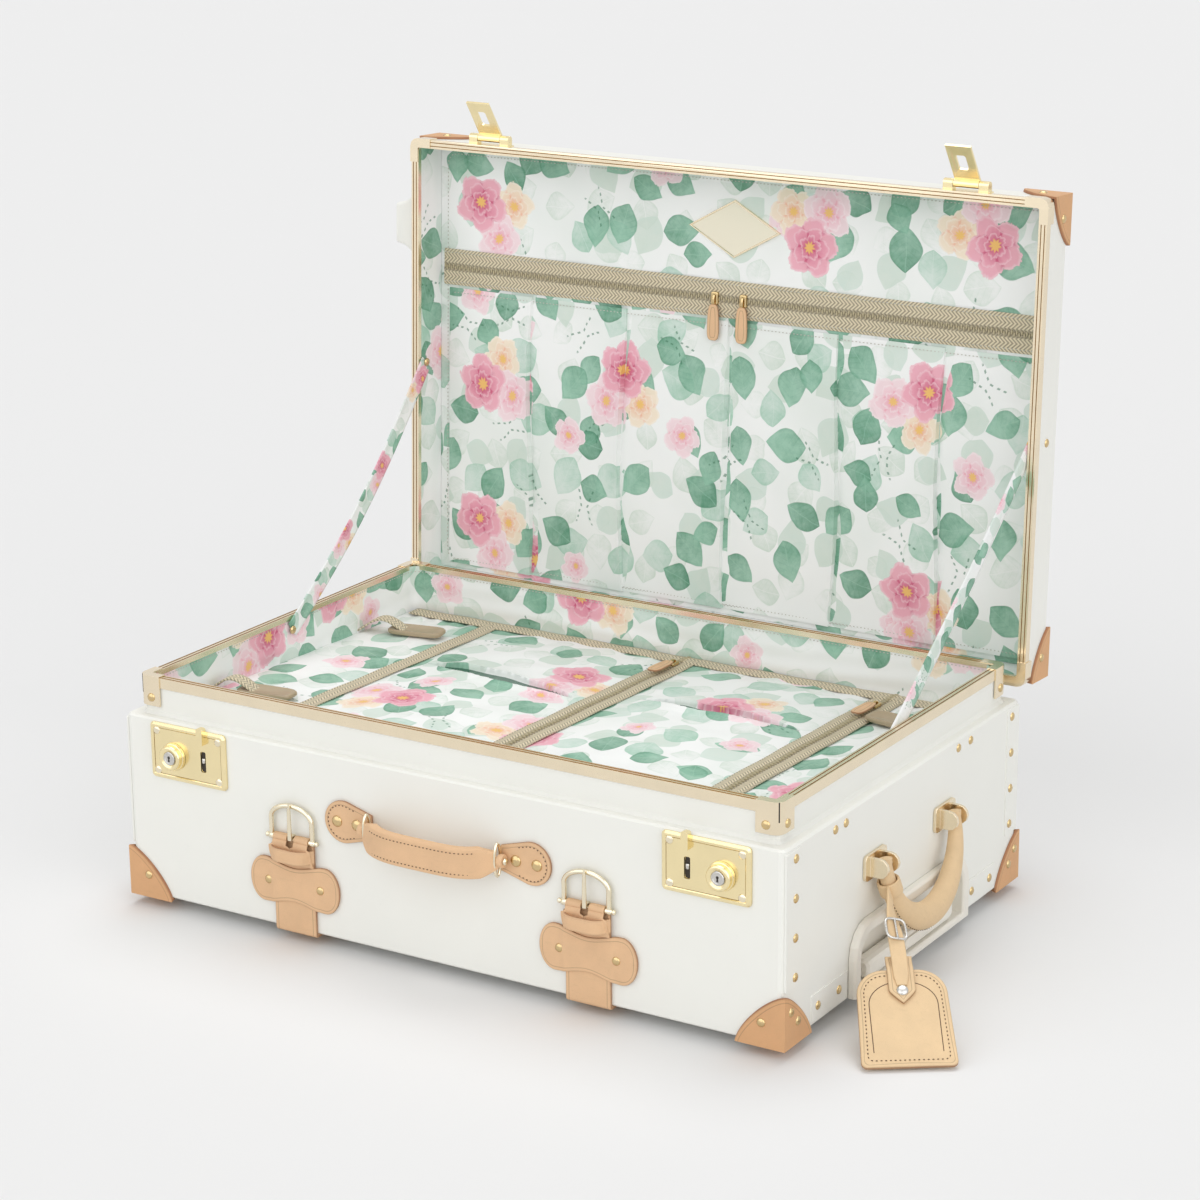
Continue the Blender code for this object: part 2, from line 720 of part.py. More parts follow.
def add_slider(name, place, drop, materials, pivot):
    """Zip slider with a leather pull that lies along its own u direction, drop above the tape."""
    shape = bmesh.new()
    body = rounded_rectangle(SLIDER_LENGTH / 2, SLIDER_WIDTH / 2, EDGE_BEVEL, 2)
    add_plate(shape, body, place, 0.0, SLIDER_HEIGHT)
    slider = finish(name, shape, materials["pale_gold"], pivot)
    shape = bmesh.new()
    pull = rounded_rectangle(PULL_LENGTH / 2, PULL_WIDTH / 2, PULL_WIDTH / 2.5, 3)
    pull = moved(pull, (SLIDER_LENGTH + PULL_LENGTH) / 2 - EDGE_BEVEL, 0.0)
    add_plate(shape, pull, place, drop, drop + PULL_SHEET)
    work(slider, name + "_pull", shape, "UNION", pivot)


def build_locks(materials):
    """Two mirrored lock plates, each with a slot, a hook, a sliding knob and a key plug."""
    level = SEAM - LOCK_DROP - LOCK_HEIGHT / 2
    for side, name in ((-1, "left"), (1, "right")):
        centre = side * LOCK_SPACING / 2
        shape = bmesh.new()
        radius = 2 * EDGE_BEVEL
        rim = LOCK_RISE / 2
        steps = ((0.0, CLEAR), (0.0, rim), (rim, LOCK_RISE), (2 * rim, LOCK_RISE),
                 (2.5 * rim, LOCK_RISE - rim / 2))
        rings = []
        for inset, rise in steps:
            outline = rounded_rectangle(LOCK_WIDTH / 2 - inset, LOCK_HEIGHT / 2 - inset,
                                        max(radius - inset, CLEAR))
            rings.append([on_front(u + centre, v + level, rise) for u, v in outline])
        add_loft(shape, rings)
        face = LOCK_RISE - rim / 2
        plate = finish("lock_plate_" + name, shape, materials["pale_gold"])
        shape = bmesh.new()
        hook = moved(rounded_rectangle(HOOK_WIDTH / 2, HOOK_HEIGHT / 2, EDGE_BEVEL, 2),
                     side * (LOCK_SPACING / 2 - SLOT_OFFSET), level + LOCK_HEIGHT / 2 - HOOK_HEIGHT / 4)
        add_plate(shape, hook, on_front, rim, LOCK_RISE + HOOK_RISE)
        work(plate, "lock_hook_" + name, shape, "UNION")
        shape = bmesh.new()
        slot = moved(rounded_rectangle(SLOT_WIDTH / 2, SLOT_HEIGHT / 2, EDGE_BEVEL / 2, 1),
                     side * (LOCK_SPACING / 2 - SLOT_OFFSET), level - LOCK_HEIGHT / 20)
        add_plate(shape, slot, on_front, rim / 2 + CLEAR, LOCK_RISE + rim / 4)
        work(plate, "lock_slot_" + name, shape, "DIFFERENCE")

        x, z = side * (LOCK_SPACING / 2 + KNOB_OFFSET), level - LOCK_HEIGHT / 18
        pivot = Pivot("lock_knob_track_" + name, on_front(x, z, face))

        def on_knob(u, v, w):
            """A point w above the lock plate's face, about the knob's axis."""
            return on_front(x + u, z + v, face + w)
        shape = bmesh.new()
        hole = PLUG_RADIUS + CLEAR
        add_turned(shape, [
            (KNOB_RADIUS, CLEAR), (KNOB_RADIUS, KNOB_RISE / 4), (KNOB_RADIUS * 0.86, KNOB_RISE / 3),
            (KNOB_RADIUS * 0.86, KNOB_RISE * 0.9), (KNOB_RADIUS * 0.74, KNOB_RISE),
            (hole, KNOB_RISE), (hole, KNOB_RISE - PLUG_DEPTH)], on_knob, 16)
        finish("lock_knob_" + name, shape, materials["pale_gold"], pivot)
        turn = Pivot("key_plug_axis_" + name, on_front(x, z, face + KNOB_RISE), pivot)
        shape = bmesh.new()
        add_turned(shape, [(PLUG_RADIUS, KNOB_RISE - PLUG_DEPTH + CLEAR), (PLUG_RADIUS, KNOB_RISE - CLEAR)],
                   on_knob, 14)
        finish("key_plug_" + name, shape, materials["aluminium"], turn)


def build_front_handle(materials):
    """Leather tabs with metal pins and a bowed leather grip that lifts about them."""
    axis_out = CLEAR + HANDLE_TAB_SHEET + 2 * CLEAR + GRIP_DEPTH / 2
    eye_inner = HANDLE_TAB_SPAN / 2 - HANDLE_TAB_LENGTH
    eye_outer = eye_inner + HANDLE_EYE
    sleeve_inner = eye_outer + CLEAR
    sleeve_outer = sleeve_inner + HANDLE_SLEEVE
    sleeve_radius = axis_out - CLEAR - HANDLE_TAB_SHEET / 2
    for side, name in ((-1, "left"), (1, "right")):
        steps = 8
        big, small = HANDLE_TAB_HEIGHT / 2, GRIP_HEIGHT * 0.42
        centre = HANDLE_TAB_SPAN / 2 - big
        outline = [(side * (centre + big * math.cos(a)), HANDLE_Z + big * math.sin(a))
                   for a in [math.radians(-100 + 200 * i / steps) for i in range(steps + 1)]]
        outline += [(side * eye_inner, HANDLE_Z + small), (side * eye_inner, HANDLE_Z - small)]
        shape = bmesh.new()
        add_plate(shape, outline, on_front, CLEAR, CLEAR + HANDLE_TAB_SHEET)
        tab = finish("front_handle_tab_" + name, shape, materials["leather_tan"])
        shape = bmesh.new()
        low, high = sorted((side * sleeve_inner, side * sleeve_outer))
        add_turned(shape, [(sleeve_radius, low), (sleeve_radius, high)],
                   lambda u, v, w: on_front(w, HANDLE_Z + v, axis_out + u), 14)
        low, high = sorted((side * eye_inner, side * (sleeve_inner + sleeve_outer) / 2))
        add_turned(shape, [(HANDLE_PIN, low), (HANDLE_PIN, high)],
                   lambda u, v, w: on_front(w, HANDLE_Z + v, axis_out + u), 10)
        work(tab, "front_handle_pin_" + name, shape, "UNION")

    pivot = Pivot("front_handle_axis", on_front(0.0, HANDLE_Z, axis_out))
    span = eye_inner - CLEAR
    shares = [math.sin(math.pi / 2 * i / 9) for i in range(-9, 10)]
    xs = [-eye_outer] + [span * share for share in shares] + [eye_outer]
    rings = []
    for x in xs:
        share = min(abs(x) / span, 1.0)
        bow = 1 - share ** 3.2
        width = GRIP_DEPTH + (GRIP_HEIGHT - GRIP_DEPTH) * (1 - share ** 8)
        out = axis_out + (GRIP_STANDOFF - axis_out) * bow
        outline = rounded_rectangle(GRIP_DEPTH / 2, width / 2, GRIP_DEPTH * 0.42, 2)
        rings.append([on_front(x, HANDLE_Z - GRIP_HEIGHT / 10 * bow + v, out + u) for u, v in outline])
    shape = bmesh.new()
    add_loft(shape, rings)
    grip = finish("front_handle_grip", shape, materials["leather_tan"], pivot)
    shape = bmesh.new()
    add_turned(shape, [(HANDLE_PIN + CLEAR, -eye_outer * 1.1), (HANDLE_PIN + CLEAR, eye_outer * 1.1)],
               lambda u, v, w: on_front(w, HANDLE_Z + v, axis_out + u), 12)
    work(grip, "front_grip_bore", shape, "DIFFERENCE", pivot)


def add_bent_wire(shape, line, place, radius, count):
    """Closed loop of round wire that follows a flat line, mitred where the line turns."""
    rings = []
    for i, here in enumerate(line):
        before = Vector(here) - Vector(line[i - 1])
        after = Vector(line[(i + 1) % len(line)]) - Vector(here)
        along = (before.normalized() + after.normalized()).normalized()
        mitre = radius / along.dot(after.normalized())
        rings.append([place(here[0] - along.y * mitre * u, here[1] + along.x * mitre * u, radius * v)
                      for u, v in circle(1.0, count)])
    add_loft(shape, rings, closed=True)


def keeper_half_height(x):
    """Half height of the bow-tie strap keeper at one place along its width."""
    shoulder = KEEPER_WIDTH * 0.34
    if abs(x) < shoulder:
        share = (1 - math.cos(math.pi * abs(x) / shoulder)) / 2
        return KEEPER_WAIST / 2 + (KEEPER_HEIGHT - KEEPER_WAIST) / 2 * share
    run = (abs(x) - shoulder) / (KEEPER_WIDTH / 2 - shoulder)
    return KEEPER_HEIGHT / 2 * math.sqrt(max(1 - run ** 2, 0.01))


def build_straps(materials):
    """Two leather straps with loops and bow-tie keepers, each under an arched buckle with a prong."""
    bar_out = CLEAR + STRAP_SHEET / 2 + BUCKLE_WIRE / 2
    strap_top = BUCKLE_BAR_Z - BUCKLE_WIRE / 2 - CLEAR
    for side, name in ((-1, "left"), (1, "right")):
        centre = side * STRAP_SPACING / 2
        outer = CLEAR + STRAP_SHEET
        bend = STRAP_SHEET / 3
        profile = [(-HALF_W - CLEAR, strap_top), (-HALF_W - outer, strap_top),
                   (-HALF_W - outer, -outer + bend),
                   (-HALF_W - outer + bend, -outer), (-HALF_W + STRAP_UNDER, -outer),
                   (-HALF_W + STRAP_UNDER, -CLEAR), (-HALF_W - CLEAR, -CLEAR)]
        shape = bmesh.new()
        add_plate(shape, profile, along_x, centre - STRAP_WIDTH / 2, centre + STRAP_WIDTH / 2)
        strap = finish("front_strap_" + name, shape, materials["leather_tan"])
        shape = bmesh.new()
        half_strap = STRAP_WIDTH / 2 + CLEAR
        steps = 20
        rings = []
        for i in range(steps + 1):
            x = -KEEPER_WIDTH / 2 + KEEPER_WIDTH * i / steps
            half = keeper_half_height(x)
            fall = min(max((abs(x) - half_strap) / (2 * STRAP_SHEET), 0.0), 1.0)
            rise = CLEAR + STRAP_SHEET / 2 * (1 - fall)
            rings.append([on_front(centre + x, KEEPER_Z + v, rise + u) for u, v in
                          ((0.0, -half), (STRAP_SHEET, -half), (STRAP_SHEET, half), (0.0, half))])
        add_loft(shape, rings)
        half_loop = STRAP_WIDTH / 2 - CLEAR
        rings = []
        steps = 12
        for i in range(steps + 1):
            x = -half_loop + 2 * half_loop * i / steps
            rise = CLEAR + STRAP_SHEET / 2 + LOOP_BULGE * (1 - (x / half_loop) ** 4)
            rings.append([on_front(centre + x, LOOP_Z + v, rise + u) for u, v in
                          ((0.0, -LOOP_HEIGHT / 2), (STRAP_SHEET, -LOOP_HEIGHT / 2),
                           (STRAP_SHEET, LOOP_HEIGHT / 2), (0.0, LOOP_HEIGHT / 2))])
        add_loft(shape, rings)
        work(strap, "strap_keeper_" + name, shape, "UNION")

    for side, name in ((-1, "left"), (1, "right")):
        centre = side * STRAP_SPACING / 2
        pivot = Pivot("buckle_axis_" + name, on_front(centre, BUCKLE_BAR_Z, bar_out))

        half = (BUCKLE_WIDTH - BUCKLE_WIRE) / 2
        head = BUCKLE_ARCH - BUCKLE_WIRE / 2
        line = [(-half * 0.5, 0.0), (half * 0.5, 0.0), (half, 0.0)]
        for i in range(11):
            angle = math.radians(180 * i / 10)
            swell = half * (1 + 0.06 * math.sin(2 * angle) * (1 if angle < math.pi / 2 else -1))
            line.append((swell * math.cos(angle), head - half * 0.7 + half * 0.7 * math.sin(angle)))
        line.append((-half, 0.0))
        shape = bmesh.new()
        add_bent_wire(shape, line, lambda u, v, w: on_front(centre + u, BUCKLE_BAR_Z + v, bar_out + w),
                      BUCKLE_WIRE / 2, 8)
        finish("buckle_frame_" + name, shape, materials["pale_gold"], pivot)
        shape = bmesh.new()
        front = bar_out + BUCKLE_WIRE / 2 + CLEAR
        half = BUCKLE_WIRE / 2
        rings = []
        for share, width in ((0.0, 1.2), (0.3, 1.0), (0.8, 0.9), (1.04, 0.5)):
            height = BUCKLE_BAR_Z + BUCKLE_ARCH * share
            rings.append([on_front(centre + u * width, height, front + v) for u, v in
                          ((-half, 0.0), (half, 0.0), (half * 0.6, half * 1.4), (-half * 0.6, half * 1.4))])
        add_loft(shape, rings)
        finish("buckle_prong_" + name, shape, materials["pale_gold"], pivot)


def side_grip_point(turn):
    """Centre line of the side handle's grip: a hanging U from one eye to the other."""
    return Vector((HALF_L + SIDE_OUT + SIDE_BOW * math.sin(turn), -SIDE_SPAN / 2 * math.cos(turn),
                   SIDE_Z - SIDE_DROP * math.sin(turn)))


def side_grip_tangent(turn):
    """Direction of that centre line."""
    ahead = Vector((SIDE_BOW * math.cos(turn), SIDE_SPAN / 2 * math.sin(turn), -SIDE_DROP * math.cos(turn)))
    return ahead.normalized()


def build_side_handle(materials):
    """Brackets with pins on the trolley end and a fat leather grip that hangs between them."""
    pivot = Pivot("side_handle_axis", (HALF_L + SIDE_OUT, 0.0, SIDE_Z))
    cheek_in = SIDE_EYE / 2 + SIDE_CHEEK_GAP
    for side, name in ((-1, "front"), (1, "back")):
        y = side * SIDE_SPAN / 2
        shape = bmesh.new()
        plate = rounded_rectangle(SIDE_PLATE_WIDTH / 2, SIDE_PLATE_HEIGHT / 2, EDGE_BEVEL * 2, 2)
        add_plate(shape, moved(plate, y, SIDE_Z), on_right, CLEAR, CLEAR + SIDE_PLATE_SHEET)
        bracket = finish("side_handle_bracket_" + name, shape, materials["pale_gold"])
        foot = CLEAR + SIDE_PLATE_SHEET / 2
        ears = [(foot, -SIDE_CHEEK_RADIUS)]
        ears += arc((SIDE_OUT, 0.0), SIDE_CHEEK_RADIUS, -90, 90, 6)
        ears.append((foot, SIDE_CHEEK_RADIUS))
        shape = bmesh.new()
        for face in (-1, 1):
            low, high = sorted((y + face * cheek_in, y + face * (cheek_in + SIDE_CHEEK)))
            add_plate(shape, ears, lambda u, v, w: Vector((HALF_L + u, w, SIDE_Z + v)), low, high)
        pin = cheek_in + SIDE_CHEEK / 2
        add_turned(shape, [(SIDE_PIN, y - pin), (SIDE_PIN, y + pin)],
                   lambda u, v, w: Vector((HALF_L + SIDE_OUT + u, w, SIDE_Z + v)), 10)
        work(bracket, "side_handle_ears_" + name, shape, "UNION")

    rings = []
    stations = 16
    for i in range(-1, stations + 2):
        share = min(max(i / stations, 0.0), 1.0)
        turn = math.pi * share
        centre = side_grip_point(turn)
        tangent = side_grip_tangent(turn)
        if i < 0 or i > stations:
            centre = centre + Vector((0.0, 0.0, SIDE_CHEEK_RADIUS * 0.7))
            tangent = Vector((0.0, 0.0, -1.0 if i < 0 else 1.0))
        swell = math.sin(turn) ** 1.2 if 0 < share < 1 else 0.0
        deep = SIDE_EYE / 2 + (SIDE_GRIP_DEPTH - SIDE_EYE) / 2 * swell
        thick = SIDE_EYE / 2 + (SIDE_GRIP_THICK - SIDE_EYE) / 2 * swell
        across = tangent.cross(Vector((1.0, 0.0, 0.0))).normalized()
        outward = across.cross(tangent).normalized()
        rings.append([centre + across * (deep * u) + outward * (thick * v) for u, v in circle(1.0, 12)])
    shape = bmesh.new()
    add_loft(shape, rings)
    grip = finish("side_handle_grip", shape, materials["leather_pale"], pivot)
    shape = bmesh.new()
    for y in (-SIDE_SPAN / 2, SIDE_SPAN / 2):
        add_turned(shape, [(SIDE_PIN + CLEAR, y - SIDE_EYE), (SIDE_PIN + CLEAR, y + SIDE_EYE)],
                   lambda u, v, w: Vector((HALF_L + SIDE_OUT + u, w, SIDE_Z + v)), 12)
    work(grip, "side_grip_bores", shape, "DIFFERENCE", pivot)
    return pivot


def build_tag(materials, handle_pivot):
    """Luggage tag: a strap looped round the grip, twisting down to a stiff leather tag that leans out."""
    turn = math.radians(TAG_TURN)
    hang = side_grip_point(turn)
    tangent = side_grip_tangent(turn)
    foot = Vector((hang.x + TAG_REACH_X, hang.y + TAG_REACH_Y, FLOOR + TAG_FLOOR_GAP))
    length = (foot - hang).length
    down = (foot - hang).normalized()
    across = Vector((-TAG_REACH_Y, TAG_REACH_X, 0.0))
    across = (across - down * across.dot(down)).normalized()
    face = across.cross(down)
    if face.z < 0:
        face = -face
    leaving = (down - tangent * down.dot(tangent)).normalized()
    pivot = Pivot("tag_axis", hang, handle_pivot)

    def on_tag(u, v, w):
        """A point v down the tag, u across it and w in front of its middle plane."""
        return hang + across * u + down * v + face * w
    shape = bmesh.new()
    start = length - TAG_LENGTH
    half = TAG_WIDTH / 2
    shoulder = TAG_WIDTH * 0.3
    outline = [(half - EDGE_BEVEL, length), (half, length - EDGE_BEVEL)]
    for centre, begin in ((half * 0.94 - shoulder, 0), (-half * 0.94 + shoulder, 90)):
        for u, v in arc((centre, 0.0), shoulder, begin, begin + 90, 4):
            outline.append((u, start + shoulder - v))
    outline += [(-half, length - EDGE_BEVEL), (-half + EDGE_BEVEL, length)]
    add_plate(shape, outline, on_tag, -TAG_SHEET / 2, TAG_SHEET / 2)
    tag = finish("luggage_tag", shape, materials["leather_pale"], pivot)

    shape = bmesh.new()
    sideways = tangent.cross(leaving)
    loop = circle(TAG_LOOP_RADIUS + TAG_STRAP_SHEET, 14)
    hole = circle(TAG_LOOP_RADIUS, 14)
    add_plate(shape, loop, lambda u, v, w: hang + leaving * u + sideways * v + tangent * w,
              -TAG_STRAP_WIDTH / 2, TAG_STRAP_WIDTH / 2, [hole])
    work(tag, "tag_loop", shape, "UNION", pivot)

    lift = TAG_SHEET / 4 + TAG_STRAP_SHEET / 2
    seam = on_tag(0.0, start, lift)
    first = hang + leaving * (TAG_LOOP_RADIUS + TAG_STRAP_SHEET / 2)
    pull = (seam - first).length * 0.45
    controls = (first, first + leaving * pull, seam - down * pull, seam)
    width_start = tangent if tangent.dot(across) > 0 else -tangent
    stations = 8
    rings = []
    for i in range(stations + 2):
        share = min(i / stations, 1.0)
        rest = 1 - share
        centre = (controls[0] * rest ** 3 + controls[1] * (3 * rest ** 2 * share)
                  + controls[2] * (3 * rest * share ** 2) + controls[3] * share ** 3)
        along = ((controls[1] - controls[0]) * rest ** 2 + (controls[2] - controls[1]) * (2 * rest * share)
                 + (controls[3] - controls[2]) * share ** 2).normalized()
        if i > stations:
            centre = on_tag(0.0, start + TAG_FLAP, lift)
        wide = width_start.lerp(across, share ** 2 * (3 - 2 * share))
        wide = (wide - along * wide.dot(along)).normalized()
        thick = along.cross(wide)
        rings.append([centre + wide * (u * TAG_STRAP_WIDTH / 2) + thick * (v * TAG_STRAP_SHEET / 2)
                      for u, v in ((-1, -1), (1, -1), (1, 1), (-1, 1))])
    shape = bmesh.new()
    add_loft(shape, rings)
    work(tag, "tag_strap", shape, "UNION", pivot)


def chamfered(width, height):
    """Eight-sided outline of a flat oval tube."""
    return rounded_rectangle(width / 2, height / 2, height / 3, 1)


def build_trolley(materials):
    """Moulded cup with guide tubes, and a pull-out handle with two slide tubes, a grip and a push button."""
    shape = bmesh.new()
    rings = []
    bevel = EDGE_BEVEL
    for growth, out in ((CUP_WALL, -CUP_DEPTH - CUP_WALL), (CUP_WALL, CLEAR), (CUP_LIP, CLEAR),
                        (CUP_LIP, CUP_RISE - bevel), (CUP_LIP - bevel, CUP_RISE), (bevel, CUP_RISE),
                        (0.0, CUP_RISE - bevel), (0.0, -CUP_DEPTH)):
        sill = min(growth, CUP_SILL)
        outline = [(u, max(v, CUP_SILL - sill + EDGE_BEVEL / 2)) for u, v in cup_outline(growth)]
        rings.append([on_right(u, v, out) for u, v in outline])
    add_loft(shape, rings)
    cup = finish("trolley_cup", shape, materials["cream_plastic"])

    cup_back = HALF_L - CUP_DEPTH - CUP_WALL
    grip_back = HALF_L - CUP_DEPTH + EDGE_BEVEL
    bore_width, bore_height = TUBE_WIDTH - 2 * TUBE_WALL, TUBE_HEIGHT - 2 * TUBE_WALL
    slide_width, slide_height = bore_width - 2 * TUBE_FIT, bore_height - 2 * TUBE_FIT
    tubes, bores, slides = bmesh.new(), bmesh.new(), bmesh.new()
    for side in (-1, 1):
        y = side * TROLLEY_SPAN / 2
        add_plate(tubes, moved(chamfered(TUBE_WIDTH, TUBE_HEIGHT), y, TROLLEY_Z), along_x,
                  TUBE_START, cup_back + CUP_WALL / 2)
        add_plate(bores, moved(chamfered(bore_width, bore_height), y, TROLLEY_Z), along_x,
                  TUBE_START - TUBE_STEP, cup_back + 2 * CUP_WALL)
        add_plate(slides, moved(chamfered(slide_width, slide_height), y, TROLLEY_Z), along_x,
                  TUBE_START + TUBE_STEP, grip_back + TROLLEY_GRIP_THICK / 3)
    work(cup, "trolley_guide_tubes", tubes, "UNION")
    work(cup, "trolley_guide_bores", bores, "DIFFERENCE")
    pivot = Pivot("trolley_track", (HALF_L, 0.0, TROLLEY_Z))

    rings = []
    centre = grip_back + TROLLEY_GRIP_THICK / 2
    for share, size in ((-1.0, 0.62), (-0.97, 0.9), (-0.9, 1.0), (0.9, 1.0), (0.97, 0.9), (1.0, 0.62)):
        outline = rounded_rectangle(TROLLEY_GRIP_THICK / 2 * size, TROLLEY_GRIP_HEIGHT / 2 * size,
                                    TROLLEY_GRIP_THICK / 3 * size, 2)
        rings.append([Vector((centre + u, TROLLEY_GRIP_HALF * share, TROLLEY_Z + v)) for u, v in outline])
    shape = bmesh.new()
    add_loft(shape, rings)
    handle = finish("trolley_handle", shape, materials["cream_plastic"], pivot)
    work(handle, "trolley_slide_tubes", slides, "UNION", pivot)
    front = grip_back + TROLLEY_GRIP_THICK
    button_pivot = Pivot("trolley_button_track", (front, 0.0, TROLLEY_Z), pivot)
    button = rounded_rectangle(BUTTON_WIDTH / 2, BUTTON_HEIGHT / 2, BUTTON_HEIGHT / 3, 2)
    pocket = rounded_rectangle(BUTTON_WIDTH / 2 + CLEAR, BUTTON_HEIGHT / 2 + CLEAR, BUTTON_HEIGHT / 3, 2)

    def at_front(u, v, w):
        """A point w in front of the grip's outer face."""
        return Vector((front + w, u, TROLLEY_Z + v))
    shape = bmesh.new()
    add_plate(shape, pocket, at_front, -BUTTON_DEPTH - 2 * BUTTON_PROUD, BUTTON_DEPTH)
    work(handle, "button_pocket", shape, "DIFFERENCE", pivot)
    shape = bmesh.new()
    add_plate(shape, button, at_front, -BUTTON_DEPTH + BUTTON_PROUD, BUTTON_PROUD)
    finish("trolley_button", shape, materials["wheel_plastic"], button_pivot)


def build_casters(materials, lid_pivot):
    """Swivelling forks and wheels in the four housings."""
    for casters, parent in ((BASE_CASTERS, None), (LID_CASTERS, lid_pivot)):
        for name, side, level in casters:
            y = side * CASTER_SPACING / 2
            swivel = Pivot("swivel_" + name, on_left(y, level, CASTER_WELL_FLOOR), parent)
            cheek = WHEEL_HALF + 2 * CLEAR

            def on_swivel(u, v, w):
                """A point w outside the end panel, about the swivel axis."""
                return on_left(y + u, level + v, w)
            plate_low = CASTER_WELL_FLOOR + CLEAR
            plate_high = plate_low + CASTER_PLATE_SHEET
            shape = bmesh.new()
            add_turned(shape, [(CASTER_PLATE, plate_low), (CASTER_PLATE, plate_high)], on_swivel, 14)
            fork = finish("caster_fork_" + name, shape, materials["aluminium"], swivel)
            root = plate_high - CASTER_PLATE_SHEET / 2
            reach = WHEEL_RADIUS * 0.55
            arm = [(reach, root), (reach, WHEEL_OUT)]
            arm += arc((-WHEEL_TRAIL, WHEEL_OUT), 2 * AXLE_RADIUS, 0, 180, 3)
            arm += [(-reach, root)]
            shape = bmesh.new()
            for face in (-1, 1):
                low, high = sorted((face * cheek, face * (cheek + FORK_SHEET)))
                add_plate(shape, arm, lambda u, v, w: on_swivel(w, u, v), low, high)
            pin = cheek + FORK_SHEET / 2
            add_turned(shape, [(AXLE_RADIUS, -pin), (AXLE_RADIUS, pin)],
                       lambda u, v, w: on_swivel(w, -WHEEL_TRAIL + u, WHEEL_OUT + v), 8)
            work(fork, "caster_arms_" + name, shape, "UNION", swivel)
            axle = Pivot("axle_" + name, on_swivel(0.0, -WHEEL_TRAIL, WHEEL_OUT), swivel)
            bore = AXLE_RADIUS + CLEAR
            crown = WHEEL_RADIUS * 0.84
            shape = bmesh.new()
            add_turned(shape, [(bore, -WHEEL_HALF), (crown, -WHEEL_HALF), (WHEEL_RADIUS, -WHEEL_HALF * 0.55),
                               (WHEEL_RADIUS, WHEEL_HALF * 0.55), (crown, WHEEL_HALF), (bore, WHEEL_HALF)],
                       lambda u, v, w: on_swivel(w, -WHEEL_TRAIL + u, WHEEL_OUT + v), 14, closed=True)
            finish("caster_wheel_" + name, shape, materials["wheel_plastic"], axle)


def build_lid(materials, lid_pivot):
    """The shallow half: board tray, frame, leather corners and lining."""
    edge = LID_EDGE + FRAME_SHEET + CLEAR
    ceiling = LID_TOP - WALL
    shape = bmesh.new()
    add_loft(shape, [
        body_ring(EDGE_BEVEL, LID_TOP),
        body_ring(0.0, LID_TOP - EDGE_BEVEL),
        body_ring(0.0, edge),
        body_ring(WALL, edge),
        body_ring(WALL, ceiling),
    ])
    shell = finish("lid_shell", shape, materials["cream_board"], lid_pivot)
    shape = bmesh.new()
    add_caster_housings(shape, LID_CASTERS)
    work(shell, "lid_fittings", shape, "UNION", lid_pivot)

    shape = bmesh.new()
    add_channel(shape, body_ring, LID_FRAME_OUTER, LID_FRAME_INNER, LID_EDGE, -1, LID_FRAME_SIDE, FRAME_LIP)
    frame = finish("lid_frame", shape, materials["pale_gold"], lid_pivot)
    shape = bmesh.new()
    add_corner_caps(shape, LID_FRAME_OUTER, LID_FRAME_INNER, LID_EDGE, -1, LID_CAP_HEIGHT, CORNER_RADIUS)
    work(frame, "lid_corner_caps", shape, "UNION", lid_pivot)

    for sign_x, side in ((-1, "left"), (1, "right")):
        for sign_y, face in ((-1, "front"), (1, "back")):
            shape = bmesh.new()
            add_leather_corner(shape, sign_x, sign_y, LID_TOP, 1, LEATHER_LEG, LID_LEATHER_DROP, CLEAR)
            finish("lid_corner_" + face + "_" + side, shape, materials["leather_tan"], lid_pivot)

    shape = bmesh.new()
    outer = WALL + CLEAR
    add_loft(shape, [
        body_ring(outer, ceiling - CLEAR),
        body_ring(outer, edge),
        body_ring(LID_LINING_INNER, edge),
        body_ring(LID_LINING_INNER, ceiling - CLEAR - LINING),
    ])
    finish("lid_lining", shape, materials["lining_print"], lid_pivot)


def lid_y(v):
    """Width coordinate at a distance from the hinged edge of the lid."""
    return HALF_W - v


